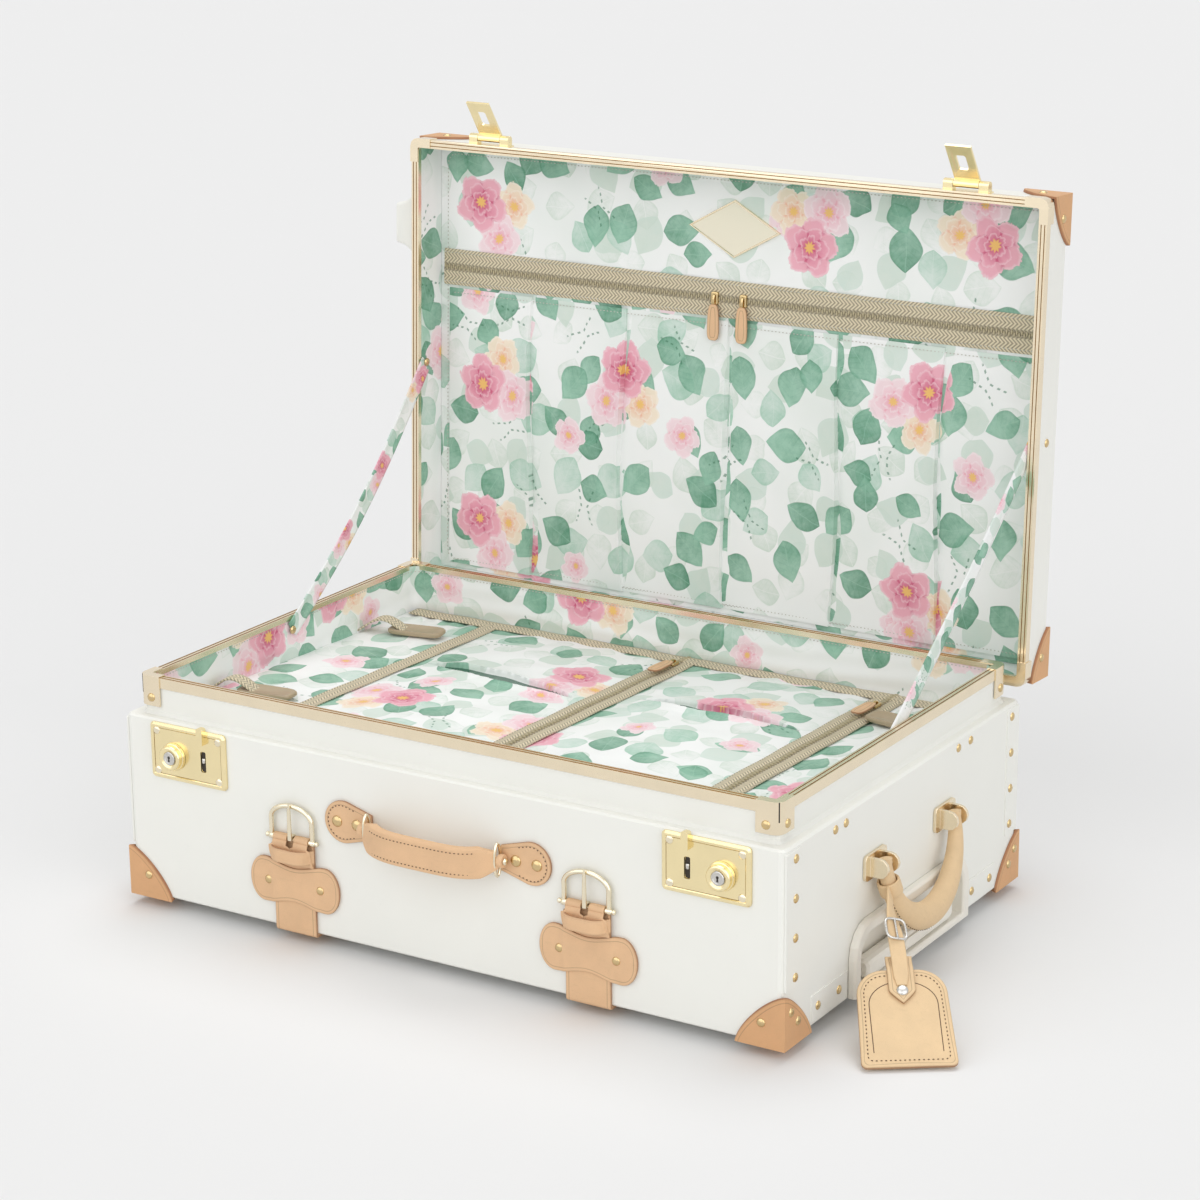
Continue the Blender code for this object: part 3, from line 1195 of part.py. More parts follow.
def build_lid_inside(materials, lid_pivot):
    """Box-pleated pocket sewn to a zip band, and the band's two sliders."""
    half = HALF_L - LID_LINING_INNER - POCKET_SIDE
    pleats = [PLEAT_SPACING * k for k in range(-2, 3)]
    xs = {-half, half}
    for centre in pleats:
        for offset in (PLEAT_WIDTH, PLEAT_WIDTH / 2, 4 * CLEAR):
            xs.update((centre - offset, centre + offset))
    zip_high = ZIP_LOW + ZIP_HEIGHT
    vs = [POCKET_FOOT + (POCKET_TOP - POCKET_FOOT) * share for share in (0.0, 0.12, 0.4, 0.75, 1.0)]
    vs += [POCKET_TOP + 2 * CLEAR, ZIP_LOW - 2 * CLEAR, ZIP_LOW, zip_high]

    def face_depth(x, v):
        """Thickness of the sewn panel: pleated pocket, then a thin seam, then the flat zip band."""
        if v > POCKET_TOP:
            return POCKET_SHEET if v > ZIP_LOW - CLEAR else POCKET_SHEET / 2
        nearest = min(abs(x - centre) for centre in pleats)
        swell = 0.35 + 0.65 * math.sin(math.pi * (v - POCKET_FOOT) / (POCKET_TOP - POCKET_FOOT))
        fold = max(1 - nearest / PLEAT_WIDTH, 0.0)
        sink = 1.6 if nearest < 5 * CLEAR else 0.0
        return POCKET_SHEET + PLEAT_DEPTH * swell * (1 + fold - sink)
    shape = bmesh.new()
    add_slab(shape, sorted(xs), vs, lambda x, v: Vector((x, lid_y(v), LID_PANEL - face_depth(x, v))),
             lambda x, v: Vector((x, lid_y(v), LID_PANEL)))
    finish("lid_pocket", shape, materials["lining_print"], lid_pivot)

    for side, name in ((-1, "lid_slider_left"), (1, "lid_slider_right")):
        x = side * LID_SLIDER_GAP / 2
        y = lid_y(ZIP_LOW + ZIP_HEIGHT / 2)
        level = LID_PANEL - POCKET_SHEET - CLEAR
        pivot = Pivot(name + "_track", (x, y, level), lid_pivot)
        drop = PLEAT_DEPTH * 2 + CLEAR
        add_slider(name, lambda u, v, w: Vector((x + v, y + u, level - w)), drop, materials, pivot)


def build_hasps(materials, lid_pivot):
    """Hinge bases on the lid's front edge and the hasp plates that drop over the lock hooks."""
    axis_z = LID_EDGE + LID_FRAME_SIDE + CLEAR + HASP_RADIUS
    plate_in = LOCK_RISE + HOOK_RISE + 3 * CLEAR
    axis_out = plate_in + HASP_SHEET - HASP_RADIUS
    lug_gap = HASP_WIDTH / 2 + CLEAR

    for side, name in ((-1, "left"), (1, "right")):
        centre = side * HASP_SPACING / 2
        leaf_half = lug_gap + HASP_LUG + EDGE_BEVEL / 2
        leaf = rounded_rectangle(leaf_half, HASP_RADIUS + EDGE_BEVEL, EDGE_BEVEL, 1)
        shape = bmesh.new()
        add_plate(shape, moved(leaf, centre, axis_z + EDGE_BEVEL), on_front, CLEAR, CLEAR + HASP_SHEET / 2)
        base = finish("hasp_base_" + name, shape, materials["pale_gold"], lid_pivot)
        seat = CLEAR + HASP_SHEET / 4
        lug = [(seat, HASP_RADIUS), (seat, -HASP_RADIUS)] + arc((axis_out, 0.0), HASP_RADIUS, -90, 90, 6)
        shape = bmesh.new()
        for face in (-1, 1):
            low, high = sorted((centre + face * lug_gap, centre + face * (lug_gap + HASP_LUG)))
            add_plate(shape, lug, lambda u, v, w: on_front(w, axis_z + v, u), low, high)
        pin = lug_gap + HASP_LUG / 2
        add_turned(shape, [(HASP_PIN, centre - pin), (HASP_PIN, centre + pin)],
                   lambda u, v, w: on_front(w, axis_z + v, axis_out + u), 8)
        work(base, "hasp_lugs_" + name, shape, "UNION", lid_pivot)

    for side, name in ((-1, "hasp_left"), (1, "hasp_right")):
        centre = side * HASP_SPACING / 2
        turn = (math.radians(-HASP_OPEN_ANGLE), 0.0, 0.0)
        pivot = Pivot(name + "_axis", on_front(centre, axis_z, axis_out), lid_pivot, turn)
        shape = bmesh.new()
        knuckle = arc((0.0, 0.0), HASP_RADIUS, 0, 270, 9)
        knuckle += [(HASP_RADIUS - HASP_SHEET, -HASP_RADIUS), (HASP_RADIUS - HASP_SHEET, -HASP_LENGTH),
                    (HASP_RADIUS, -HASP_LENGTH)]
        hole = circle(HASP_PIN + CLEAR, 10)
        add_plate(shape, knuckle, lambda u, v, w: on_front(w, axis_z + v, axis_out + u),
                  centre - HASP_WIDTH / 2, centre + HASP_WIDTH / 2, [hole])
        hasp = finish(name, shape, materials["pale_gold"], pivot)
        shape = bmesh.new()
        window = moved(rounded_rectangle(HASP_WIDTH / 5, HASP_LENGTH / 5, EDGE_BEVEL, 2),
                       centre, axis_z - HASP_LENGTH * 0.55)
        add_plate(shape, window, on_front, 0.0, axis_out + 2 * HASP_RADIUS)
        work(hasp, name + "_window", shape, "DIFFERENCE", pivot)


def build_hinges(materials, lid_pivot):
    """Two butt hinges on the back: leaf, lugs and pin on the base, a knuckle and leaf on the lid."""

    def on_back(u, v, w):
        """A point u behind the back face and v above the seam, at length w."""
        return Vector((w, HALF_W + u, SEAM + v))
    reach = HINGE_MIDDLE / 2 + CLEAR
    seat = CLEAR + FRAME_SHEET + CLEAR
    low_edge = HINGE_UP - HINGE_OUT - HINGE_RADIUS
    for side, name in ((-1, "left"), (1, "right")):
        centre = side * HINGE_SPAN / 2
        leaf_half = reach + HINGE_LUG
        shape = bmesh.new()
        leaf = [(CLEAR, -HINGE_LEAF_LENGTH), (CLEAR + HINGE_LEAF, -HINGE_LEAF_LENGTH),
                (CLEAR + HINGE_LEAF, low_edge), (CLEAR, low_edge)]
        add_plate(shape, leaf, on_back, centre - leaf_half, centre + leaf_half)
        base = finish("hinge_base_leaf_" + name, shape, materials["pale_gold"])
        lug = [(CLEAR + HINGE_LEAF / 2, low_edge - HINGE_RADIUS), (2 * HINGE_LEAF, low_edge - HINGE_RADIUS)]
        lug += arc((HINGE_OUT, HINGE_UP), HINGE_RADIUS, -80, 180, 8)
        lug += [(CLEAR + HINGE_LEAF / 2, low_edge + HINGE_RADIUS)]
        shape = bmesh.new()
        for face in (-1, 1):
            low, high = sorted((centre + face * reach, centre + face * (leaf_half - EDGE_BEVEL / 2)))
            add_plate(shape, lug, on_back, low, high)
        pin = reach + HINGE_LUG / 2
        add_turned(shape, [(HINGE_PIN, centre - pin), (HINGE_PIN, centre + pin)],
                   lambda u, v, w: on_back(HINGE_OUT + u, HINGE_UP + v, w), 8)
        work(base, "hinge_lugs_" + name, shape, "UNION")

        knuckle = [(seat + HINGE_LEAF, HINGE_LEAF_LENGTH), (seat, HINGE_LEAF_LENGTH), (seat, HINGE_UP)]
        knuckle += arc((HINGE_OUT, HINGE_UP), HINGE_RADIUS, -170, 110, 8)
        knuckle += [(seat + HINGE_LEAF, HINGE_UP + 2 * HINGE_RADIUS)]
        hole = moved(circle(HINGE_PIN + CLEAR, 10), HINGE_OUT, HINGE_UP)
        shape = bmesh.new()
        add_plate(shape, knuckle, on_back, centre - HINGE_MIDDLE / 2, centre + HINGE_MIDDLE / 2, [hole])
        finish("hinge_lid_leaf_" + name, shape, materials["pale_gold"], lid_pivot)


def opened(point):
    """Where a point of the closed lid lies once the lid is open."""
    angle = math.radians(LID_OPEN_ANGLE)
    y, z = point.y - HINGE.y, point.z - HINGE.z
    return Vector((point.x, HINGE.y + y * math.cos(angle) + z * math.sin(angle),
                   HINGE.z - y * math.sin(angle) + z * math.cos(angle)))


def build_stays(materials):
    """Flat fabric-covered straps that stop the lid, from each neck end to the lid's end wall."""
    for side, name in ((-1, "lid_stay_left"), (1, "lid_stay_right")):
        low = Vector((side * (HALF_L - FRAME_INNER - STAY_SHEET), 0.0, RIM - STAY_BASE_DROP))
        high = opened(Vector((side * (HALF_L - LID_FRAME_INNER - 2 * CLEAR), 0.0, LID_EDGE + STAY_LID_DEPTH)))
        run = high - low
        along = run.normalized()
        inward = Vector((-side, 0.0, 0.0))
        inward = (inward - along * inward.dot(along)).normalized()
        across = along.cross(inward)
        half = STAY_WIDTH / 2
        length = run.length
        outline = [(half * math.sin(a), length + half * math.cos(a)) for a in
                   [math.radians(-90 + 180 * i / 6) for i in range(7)]]
        outline += [(half * math.sin(a), half * math.cos(a)) for a in
                    [math.radians(90 + 180 * i / 6) for i in range(7)]]
        shape = bmesh.new()
        add_plate(shape, outline, lambda u, v, w: low + across * u + along * v + inward * w, 0.0, STAY_SHEET)
        finish(name, shape, materials["lining_print"])


def main():
    clear_scene()
    materials = make_materials()
    lid_pivot = Pivot("lid_axis", HINGE, None, (math.radians(-LID_OPEN_ANGLE), 0.0, 0.0))
    build_case(materials)
    build_base_inside(materials)
    build_locks(materials)
    build_front_handle(materials)
    build_straps(materials)
    side_pivot = build_side_handle(materials)
    build_tag(materials, side_pivot)
    build_trolley(materials)
    build_casters(materials, lid_pivot)
    build_lid(materials, lid_pivot)
    build_lid_inside(materials, lid_pivot)
    build_hasps(materials, lid_pivot)
    build_hinges(materials, lid_pivot)
    build_stays(materials)


main()
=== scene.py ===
"""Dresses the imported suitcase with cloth, leather and metal, and sets it on a pale studio floor."""
import json
import math

import bmesh
import bpy
import numpy as np
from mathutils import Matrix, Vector


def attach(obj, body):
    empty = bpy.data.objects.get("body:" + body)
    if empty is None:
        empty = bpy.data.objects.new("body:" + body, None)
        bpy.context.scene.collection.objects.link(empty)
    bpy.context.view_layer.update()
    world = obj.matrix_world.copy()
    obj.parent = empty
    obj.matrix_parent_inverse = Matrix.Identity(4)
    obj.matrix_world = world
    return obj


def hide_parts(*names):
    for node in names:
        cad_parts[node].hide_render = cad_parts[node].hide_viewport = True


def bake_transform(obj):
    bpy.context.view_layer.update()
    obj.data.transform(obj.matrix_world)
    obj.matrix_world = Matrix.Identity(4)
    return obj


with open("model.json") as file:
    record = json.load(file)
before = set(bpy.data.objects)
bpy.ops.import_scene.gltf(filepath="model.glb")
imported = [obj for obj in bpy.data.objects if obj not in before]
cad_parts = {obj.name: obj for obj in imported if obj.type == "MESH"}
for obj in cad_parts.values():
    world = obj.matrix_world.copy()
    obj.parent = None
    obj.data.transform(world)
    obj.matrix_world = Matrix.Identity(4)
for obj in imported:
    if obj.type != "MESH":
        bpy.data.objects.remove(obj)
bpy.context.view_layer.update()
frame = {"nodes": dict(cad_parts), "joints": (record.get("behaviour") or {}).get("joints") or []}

bl_info = {
    "name": "Suitcase dressing",
    "version": (1, 0, 0),
    "blender": (4, 5, 0),
    "location": "3D View > Sidebar > Suitcase",
    "description": "Adds cloth, leather, metal and a studio stage to the packed suitcase",
    "category": "Object",
}

# Sizes shared with the solids, in metres
HALF_L = 0.350
HALF_W = 0.228
RIM = 0.213
CLEAR = 0.0003
LEATHER = 0.0025
LID_TOP = 0.227
LID_EDGE = 0.1786
LID_PANEL = 0.2211
TUB_WALL = 0.0175
FLOOR_LEVEL = -0.012
HANDLE_LEVEL = 0.117
HANDLE_OUT = 0.0094
STRAP_X = 0.158
BAR_LEVEL = 0.090
BAR_OUT = 0.00405
LOCK_X = 0.276
LOCK_LEVEL = 0.148
LOCK_FACE = 0.003
KNOB_X = 0.292
KNOB_LEVEL = 0.145
SLOT_X = 0.258
ZIP_LEVEL = 0.3245
DIVIDER_X = 0.3322
DIVIDER_Y = 0.2105

# Depth of a rivet below its surface, and the inset of points that have no cut edge near them
RIVET_FOOT = 0.0006
NO_EDGE = 0.02

# Direction out of the front face, and the hinge that the lid turns on
FRONT = (0.0, -1.0, 0.0)
LID_HINGE = next(joint for joint in frame["joints"] if joint["name"] == "lid_hinge")
HINGE = np.array(LID_HINGE["pos_m"], float)
LID_ANGLE = math.radians(LID_HINGE["range_deg"][1])


def linear(red, green, blue):
    """Linear colour of an everyday 0 to 255 colour."""
    share = np.array([red, green, blue]) / 255.0
    return tuple(np.where(share <= 0.04045, share / 12.92, ((share + 0.055) / 1.055) ** 2.4).tolist())


def colour_property(name, description, red, green, blue):
    """A colour that the user may change."""
    return bpy.props.FloatVectorProperty(name=name, description=description, subtype="COLOR", size=3,
                                         min=0.0, max=1.0, default=linear(red, green, blue))


def length_property(name, description, default):
    """A length that the user may change."""
    return bpy.props.FloatProperty(name=name, description=description, default=default, unit="LENGTH",
                                   min=0.0, precision=5)


def strength_property(name, description, default):
    """A lamp's strength that the user may change."""
    return bpy.props.FloatProperty(name=name, description=description, default=default, min=0.0)


class SuitcaseColours(bpy.types.PropertyGroup):
    """Colours of the finishes."""

    board: colour_property("Board", "Cream board of both halves", 239, 239, 233)
    plastic: colour_property("Plastic", "Moulded cream plastic of cup and casters", 240, 236, 226)
    frame_gold: colour_property("Frame gold", "Pale gold of frames, caps and brackets", 246, 231, 203)
    lock_gold: colour_property("Lock gold", "Yellow gold of locks and hasps", 251, 234, 186)
    stud_gold: colour_property("Stud gold", "Deeper gold of rivets, hinges and sliders", 217, 191, 143)
    # Painted shade: dark metal for the thin lines round each lock's face and along the folds of both frames
    groove: colour_property("Lock groove", "Shaded step round the lock's face", 138, 100, 48)
    steel: colour_property("Steel", "Bright steel of key plugs and forks", 214, 212, 208)
    buckle_gold: colour_property("Buckle gold", "Champagne gold of buckles and rings", 243, 232, 206)
    tan: colour_property("Tan leather", "Straps and handle", 229, 189, 148)
    corner_tan: colour_property("Corner leather", "Leather corners", 219, 170, 124)
    pale_tan: colour_property("Pale leather", "Side grip and tag", 229, 199, 157)
    edge_paint: colour_property("Edge paint", "Painted cut edges of the leather", 132, 66, 40)
    thread: colour_property("Thread", "Stitching in the leather", 92, 66, 48)
    tape: colour_property("Zip tape", "Woven tape of the zips", 211, 199, 172)
    ground: colour_property("Print ground", "White ground of the lining print", 243, 244, 243)
    leaf_pale: colour_property("Pale leaves", "Washed-out leaves of the print", 205, 219, 207)
    leaf_mid: colour_property("Middle leaves", "Middle green of the print", 150, 196, 173)
    leaf_deep: colour_property("Deep leaves", "Deepest green of the print", 74, 138, 108)
    petal: colour_property("Petals", "Pink of the blossoms", 236, 170, 186)
    petal_deep: colour_property("Deep petals", "Deep pink in the blossoms", 203, 86, 122)
    heart: colour_property("Blossom heart", "Yellow in the middle of the blossoms", 240, 196, 110)
    slit: colour_property("Slit shade", "Inside of the divider's open slits", 40, 92, 70)
    ivory: colour_property("Ivory", "Field of the lid's plaque", 240, 233, 212)
    clip: colour_property("Clip", "Taupe clips of the divider's ties", 176, 158, 130)
    teeth: colour_property("Zip teeth", "Coil of the zips", 190, 178, 146)
    lining_thread: colour_property("Lining thread", "Seams of the lining", 204, 202, 194)
    # Painted shade: the dark of keyhole plates, slot sheets and the slits of the caps
    dark: colour_property("Dark recess", "Inside of slots and eyelets", 34, 28, 22)


class SuitcaseSizes(bpy.types.PropertyGroup):
    """Sizes of the small pieces."""

    rivet: length_property("Rivet radius", "Radius of a rivet head", 0.0042)
    rivet_rise: length_property("Rivet rise", "Height of a rivet head", 0.0019)
    screw: length_property("Screw radius", "Radius of a lock screw", 0.0041)
    stitch: length_property("Stitch length", "Length of one stitch", 0.0022)
    stitch_step: length_property("Stitch step", "Distance from stitch to stitch", 0.0040)
    thread: length_property("Thread radius", "Radius of the sewing thread", 0.0005)
    tooth_step: length_property("Tooth step", "Distance from zip tooth to zip tooth", 0.0026)
    crease: length_property("Crease inset", "Distance of the pressed line from a leather edge", 0.0034)
    edge_soft: length_property("Metal edge", "Width of the worn edge on metal pieces", 0.0004)


class SuitcaseStage(bpy.types.PropertyGroup):
    """Camera, lamps and floor."""

    floor: colour_property("Floor", "Colour of floor and backdrop", 233, 233, 233)
    camera: bpy.props.FloatVectorProperty(name="Camera", description="Place of the camera", size=3,
                                          subtype="TRANSLATION", default=(1.5590, -2.4270, 1.1595))
    aim: bpy.props.FloatVectorProperty(name="Aim", description="Direction of the optical axis", size=3,
                                       subtype="DIRECTION", default=(-0.4839, 0.8240, -0.2947))
    lens: bpy.props.FloatProperty(name="Lens", description="Focal length in millimetres", default=97.65)
    shift: bpy.props.FloatVectorProperty(name="Shift", description="Lens shift as a share of the frame",
                                         size=2, default=(-0.0823, 0.0083))
    world: strength_property("Sky", "Strength of the even light all round", 0.36)
    backdrop: strength_property("Backdrop", "Strength of the sky as the camera sees it", 0.84)
    top_lamp: strength_property("Top lamp", "Strength of the overhead lamp", 1.20)
    key_lamp: strength_property("Key lamp", "Strength of the front lamp", 1.05)
    side_lamp: strength_property("Side lamp", "Strength of the right lamp", 1.15)


class Value:
    """A number that changes over a surface; each operator adds one Math node."""

    def __init__(self, finish, socket):
        self.finish = finish
        self.socket = socket

    def __add__(self, other):
        return self.finish.maths("ADD", self, other)

    def __radd__(self, other):
        return self.finish.maths("ADD", other, self)

    def __sub__(self, other):
        return self.finish.maths("SUBTRACT", self, other)

    def __rsub__(self, other):
        return self.finish.maths("SUBTRACT", other, self)

    def __mul__(self, other):
        return self.finish.maths("MULTIPLY", self, other)

    def __truediv__(self, other):
        return self.finish.maths("DIVIDE", self, other)

    def __abs__(self):
        return self.finish.maths("ABSOLUTE", self)

    def __lt__(self, other):
        return self.finish.maths("LESS_THAN", self, other)


class Finish:
    """A material under construction; every node of it comes from one method."""

    def __init__(self, name):
        self.material = bpy.data.materials.new(name)
        self.material.use_nodes = True
        self.tree = self.material.node_tree
        self.shader = self.tree.nodes["Principled BSDF"]

    def node(self, kind, settings=None, sockets=None):
        """Adds a node: its settings first, then the values or links of its sockets."""
        made = self.tree.nodes.new(kind)
        for key, value in (settings or {}).items():
            setattr(made, key, value)
        self.feed(made, sockets or {})
        return made

    def feed(self, made, sockets):
        """Sets or links sockets of a node by name or number."""
        for key, value in sockets.items():
            socket = made.inputs[key]
            if isinstance(value, Value):
                self.tree.links.new(value.socket, socket)
            elif isinstance(value, bpy.types.NodeSocket):
                self.tree.links.new(value, socket)
            elif socket.type == "RGBA" and len(value) == 3:
                socket.default_value = (*value, 1.0)
            else:
                socket.default_value = value

    def maths(self, operation, *values):
        """One Math node on values or numbers."""
        made = self.node("ShaderNodeMath", {"operation": operation}, dict(enumerate(values)))
        return Value(self, made.outputs[0])

    def smooth(self, value, low, high):
        """Rises from 0 to 1 between two limits."""
        made = self.node("ShaderNodeMapRange", {"interpolation_type": "SMOOTHSTEP"},
                         {"Value": value, "From Min": low, "From Max": high})
        return Value(self, made.outputs["Result"])

    def blend(self, share, first, second):
        """Colour between two colours."""
        made = self.node("ShaderNodeMix", {"data_type": "RGBA"}, {0: share, 6: first, 7: second})
        return made.outputs[2]

    def vector(self, operation, first, second):
        """One Vector Math node on vectors."""
        return self.node("ShaderNodeVectorMath", {"operation": operation}, {0: first, 1: second}).outputs[0]

    def split(self, vector):
        """The three parts of a vector or colour."""
        made = self.node("ShaderNodeSeparateXYZ", {}, {0: vector})
        return [Value(self, socket) for socket in made.outputs]

    def place(self):
        """Object coordinates, which are metres in the case's own frame."""
        return self.node("ShaderNodeTexCoord").outputs["Object"]

    def cloth_place(self):
        """Coordinates along the cloth in metres, from the piece's own map."""
        return self.node("ShaderNodeUVMap", {"uv_map": "cloth"}).outputs["UV"]

    def noise(self, vector, scale, detail, rough):
        """Soft noise between 0 and 1."""
        made = self.node("ShaderNodeTexNoise", {},
                         {"Vector": vector, "Scale": scale, "Detail": detail, "Roughness": rough})
        return Value(self, made.outputs[0])

    def cells(self, vector, scale, feature="F1"):
        """Distance in a pattern of cells."""
        made = self.node("ShaderNodeTexVoronoi", {"feature": feature}, {"Vector": vector, "Scale": scale})
        return Value(self, made.outputs["Distance"])

    def attribute(self, name):
        """A number stored on the piece's own points."""
        made = self.node("ShaderNodeAttribute", {"attribute_type": "GEOMETRY", "attribute_name": name})
        return Value(self, made.outputs["Fac"])

    def surface(self, varying, fixed=None, height=None, strength=0.3, distance=0.001):
        """Feeds the shader: what varies is linked, what is fixed is set, and a height becomes a bump."""
        self.feed(self.shader, fixed or {})
        self.feed(self.shader, varying)
        if height is not None:
            bump = self.node("ShaderNodeBump", {},
                             {"Strength": strength, "Distance": distance, "Height": height})
            self.tree.links.new(bump.outputs["Normal"], self.shader.inputs["Normal"])
        return self.material


def shade(colour, factor):
    """A colour made darker, or lighter up to full strength."""
    return [min(part * factor, 1.0) for part in colour]


def finish_board(colours):
    """Cream vulcanised board: fine pebble grain, faint clouds and rubbed spots."""
    finish = Finish("cream_board")
    place = finish.place()
    clouds = finish.noise(place, 9.0, 4.0, 0.55)
    grain = finish.noise(place, 900.0, 2.0, 0.6)
    weave = finish.cells(place, 700.0)
    tone = finish.blend(clouds, shade(colours.board, 0.965), shade(colours.board, 1.02))
    specks = finish.smooth(finish.noise(place, 160.0, 3.0, 0.6), 0.66, 0.76)
    tone = finish.blend(specks * 0.10, tone, shade(colours.board, 0.80))
    rough = 0.40 + clouds * 0.12 + grain * 0.06
    return finish.surface({"Base Color": tone, "Roughness": rough}, {"Specular IOR Level": 0.4},
                          grain * 0.6 + weave * 0.5, 0.10, 0.0004)


def finish_plastic(name, colour):
    """Moulded plastic with a fine spark-eroded texture and slight flow clouds."""
    finish = Finish(name)
    place = finish.place()
    clouds = finish.noise(place, 14.0, 3.0, 0.5)
    grain = finish.noise(place, 1400.0, 1.0, 0.5)
    tone = finish.blend(clouds, shade(colour, 0.95), colour)
    return finish.surface({"Base Color": tone, "Roughness": 0.34 + clouds * 0.10},
                          {"Specular IOR Level": 0.45}, grain, 0.07, 0.0003)


def finish_metal(name, colour, rough):
    """Polished metal with fine wiping marks, cloudy lacquer and tiny pits."""
    finish = Finish(name)
    place = finish.place()
    stretched = finish.vector("MULTIPLY", place, (60.0, 700.0, 700.0))
    wipes = finish.noise(stretched, 1.0, 3.0, 0.6)
    clouds = finish.noise(place, 45.0, 3.0, 0.5)
    pits = finish.smooth(finish.cells(place, 420.0), 0.06, 0.12)
    tone = finish.blend(clouds, shade(colour, 0.88), colour)
    tone = finish.blend(pits, shade(colour, 0.72), tone)
    return finish.surface({"Base Color": tone, "Roughness": rough + wipes * 0.10 + clouds * 0.06},
                          {"Metallic": 1.0}, wipes + clouds, 0.04, 0.0003)


def finish_leather(name, colour, colours, sizes):
    """Vegetable-tanned leather: pores, creased grain, cloudy dye, painted edges and a pressed line."""
    finish = Finish(name)
    place = finish.place()
    clouds = finish.noise(place, 34.0, 4.0, 0.6)
    streaks = finish.noise(finish.vector("MULTIPLY", place, (40.0, 190.0, 190.0)), 1.0, 3.0, 0.6)
    cracks = finish.cells(place, 900.0, "DISTANCE_TO_EDGE")
    pores = finish.smooth(finish.cells(place, 1500.0), 0.0, 0.28)
    inset = finish.attribute("inset")
    tone = finish.blend(clouds, shade(colour, 0.84), shade(colour, 1.08))
    tone = finish.blend(finish.smooth(streaks, 0.55, 0.8) * 0.35, tone, shade(colour, 0.78))
    tone = finish.blend(pores, shade(colour, 0.66), tone)
    line = 1.0 - finish.smooth(abs(inset - sizes.crease), 0.00018, 0.00055)
    tone = finish.blend(line * 0.55, tone, shade(colour, 0.42))
    rim = 1.0 - finish.smooth(inset, 0.0, 0.0016)
    tone = finish.blend(rim * 0.35, tone, shade(colour, 0.55))
    cut = 1.0 - finish.smooth(inset + clouds * 0.0002, -0.0001, 0.0004)
    tone = finish.blend(cut * 0.85, tone, colours.edge_paint)
    height = finish.smooth(cracks, 0.0, 0.10) * 0.5 + pores * 0.4 + clouds * 0.3 - line * 1.6
    return finish.surface({"Base Color": tone, "Roughness": 0.44 + clouds * 0.16 + pores * 0.04},
                          {"Specular IOR Level": 0.4}, height, 0.22, 0.0004)


def scattered(finish, place, cell, jitter, seed):
    """Sows one motif per cell: its own turned coordinates in metres and three chance numbers."""
    shifted = finish.vector("ADD", place, (seed * 1.37, seed * 2.11, 0.0))
    made = finish.node("ShaderNodeTexVoronoi", {"voronoi_dimensions": "2D", "feature": "F1"},
                       {"Vector": shifted, "Scale": 1.0 / cell, "Randomness": jitter})
    along, across, _ = finish.split(finish.vector("SUBTRACT", shifted, made.outputs["Position"]))
    first, second, third = finish.split(made.outputs["Color"])
    turn = first * (2.0 * math.pi)
    cosine = finish.maths("COSINE", turn)
    sine = finish.maths("SINE", turn)
    return along * cosine + across * sine, across * cosine - along * sine, first, second, third


def leaf_layer(finish, place, wash, below, cell, seed, length, width, share, pale, deep, strength):
    """Oval leaves with a soft wet edge, a pale rib and side veins, sown over what lies below."""
    x, y, first, second, third = scattered(finish, place, cell, 0.42, seed)
    size = 0.74 + second * 0.26
    p = x / (size * length)
    half = (1.0 - p * p) * (1.0 + p * 0.28) * size * width
    gap = half - abs(y)
    inside = finish.smooth(gap, -0.0002, 0.0009) * (third < share)
    edge = 1.0 - finish.smooth(gap, 0.0, 0.0045)
    rib = 1.0 - finish.smooth(abs(y), 0.0002, 0.0007)
    veins = finish.maths("SINE", (p * length + abs(y) * -0.8) * 900.0)
    depth = wash * 0.75 + p * 0.18 + first * 0.32 - 0.12 + edge * 0.16
    depth = depth + finish.smooth(veins, 0.75, 1.0) * 0.07
    tone = finish.blend(finish.smooth(depth, 0.05, 0.95), pale, deep)
    tone = finish.blend(rib * 0.45, tone, pale)
    return finish.blend(inside * (strength + wash * (1.0 - strength)), below, tone)


def blossom(finish, x, y, spin, size, present, wash, below, tones):
    """One blossom over what lies below: three rings of petals, darker in the folds, round a heart."""
    pale, deep, heart = tones
    away = finish.maths("SQRT", x * x + y * y) / size
    turn = finish.maths("ARCTAN2", y, x)
    tone = below
    for reach, phase, deepen in ((0.98, 0.0, 0.0), (0.70, 0.63, 0.28), (0.42, 0.2, 0.50)):
        wave = abs(finish.maths("COSINE", turn * 2.5 + spin * 3.0 + phase))
        ruffle = finish.maths("SINE", turn * 11.0 + wash * 20.0) * 0.03
        gap = (0.74 + wave * 0.26 + wash * 0.16) * reach + ruffle - away
        mask = finish.smooth(gap, 0.0, 0.04) * present
        fold = 1.0 - finish.smooth(wave, 0.0, 0.42)
        depth = (1.0 - away / reach) * 0.55 + fold * 0.5 + wash * 0.6 - 0.36 + deepen
        petal = finish.blend(finish.smooth(depth, 0.0, 1.05), pale, deep)
        lip = finish.smooth(gap, 0.0, 0.05) * (1.0 - finish.smooth(gap, 0.05, 0.14))
        petal = finish.blend(lip * 0.5, petal, [0.5 + c * 0.5 for c in pale])
        tone = finish.blend(mask * 0.94, tone, petal)
    middle = 1.0 - finish.smooth(away + finish.maths("SINE", turn * 9.0) * 0.04, 0.12, 0.22)
    return finish.blend(middle * present * 0.9, tone, heart)


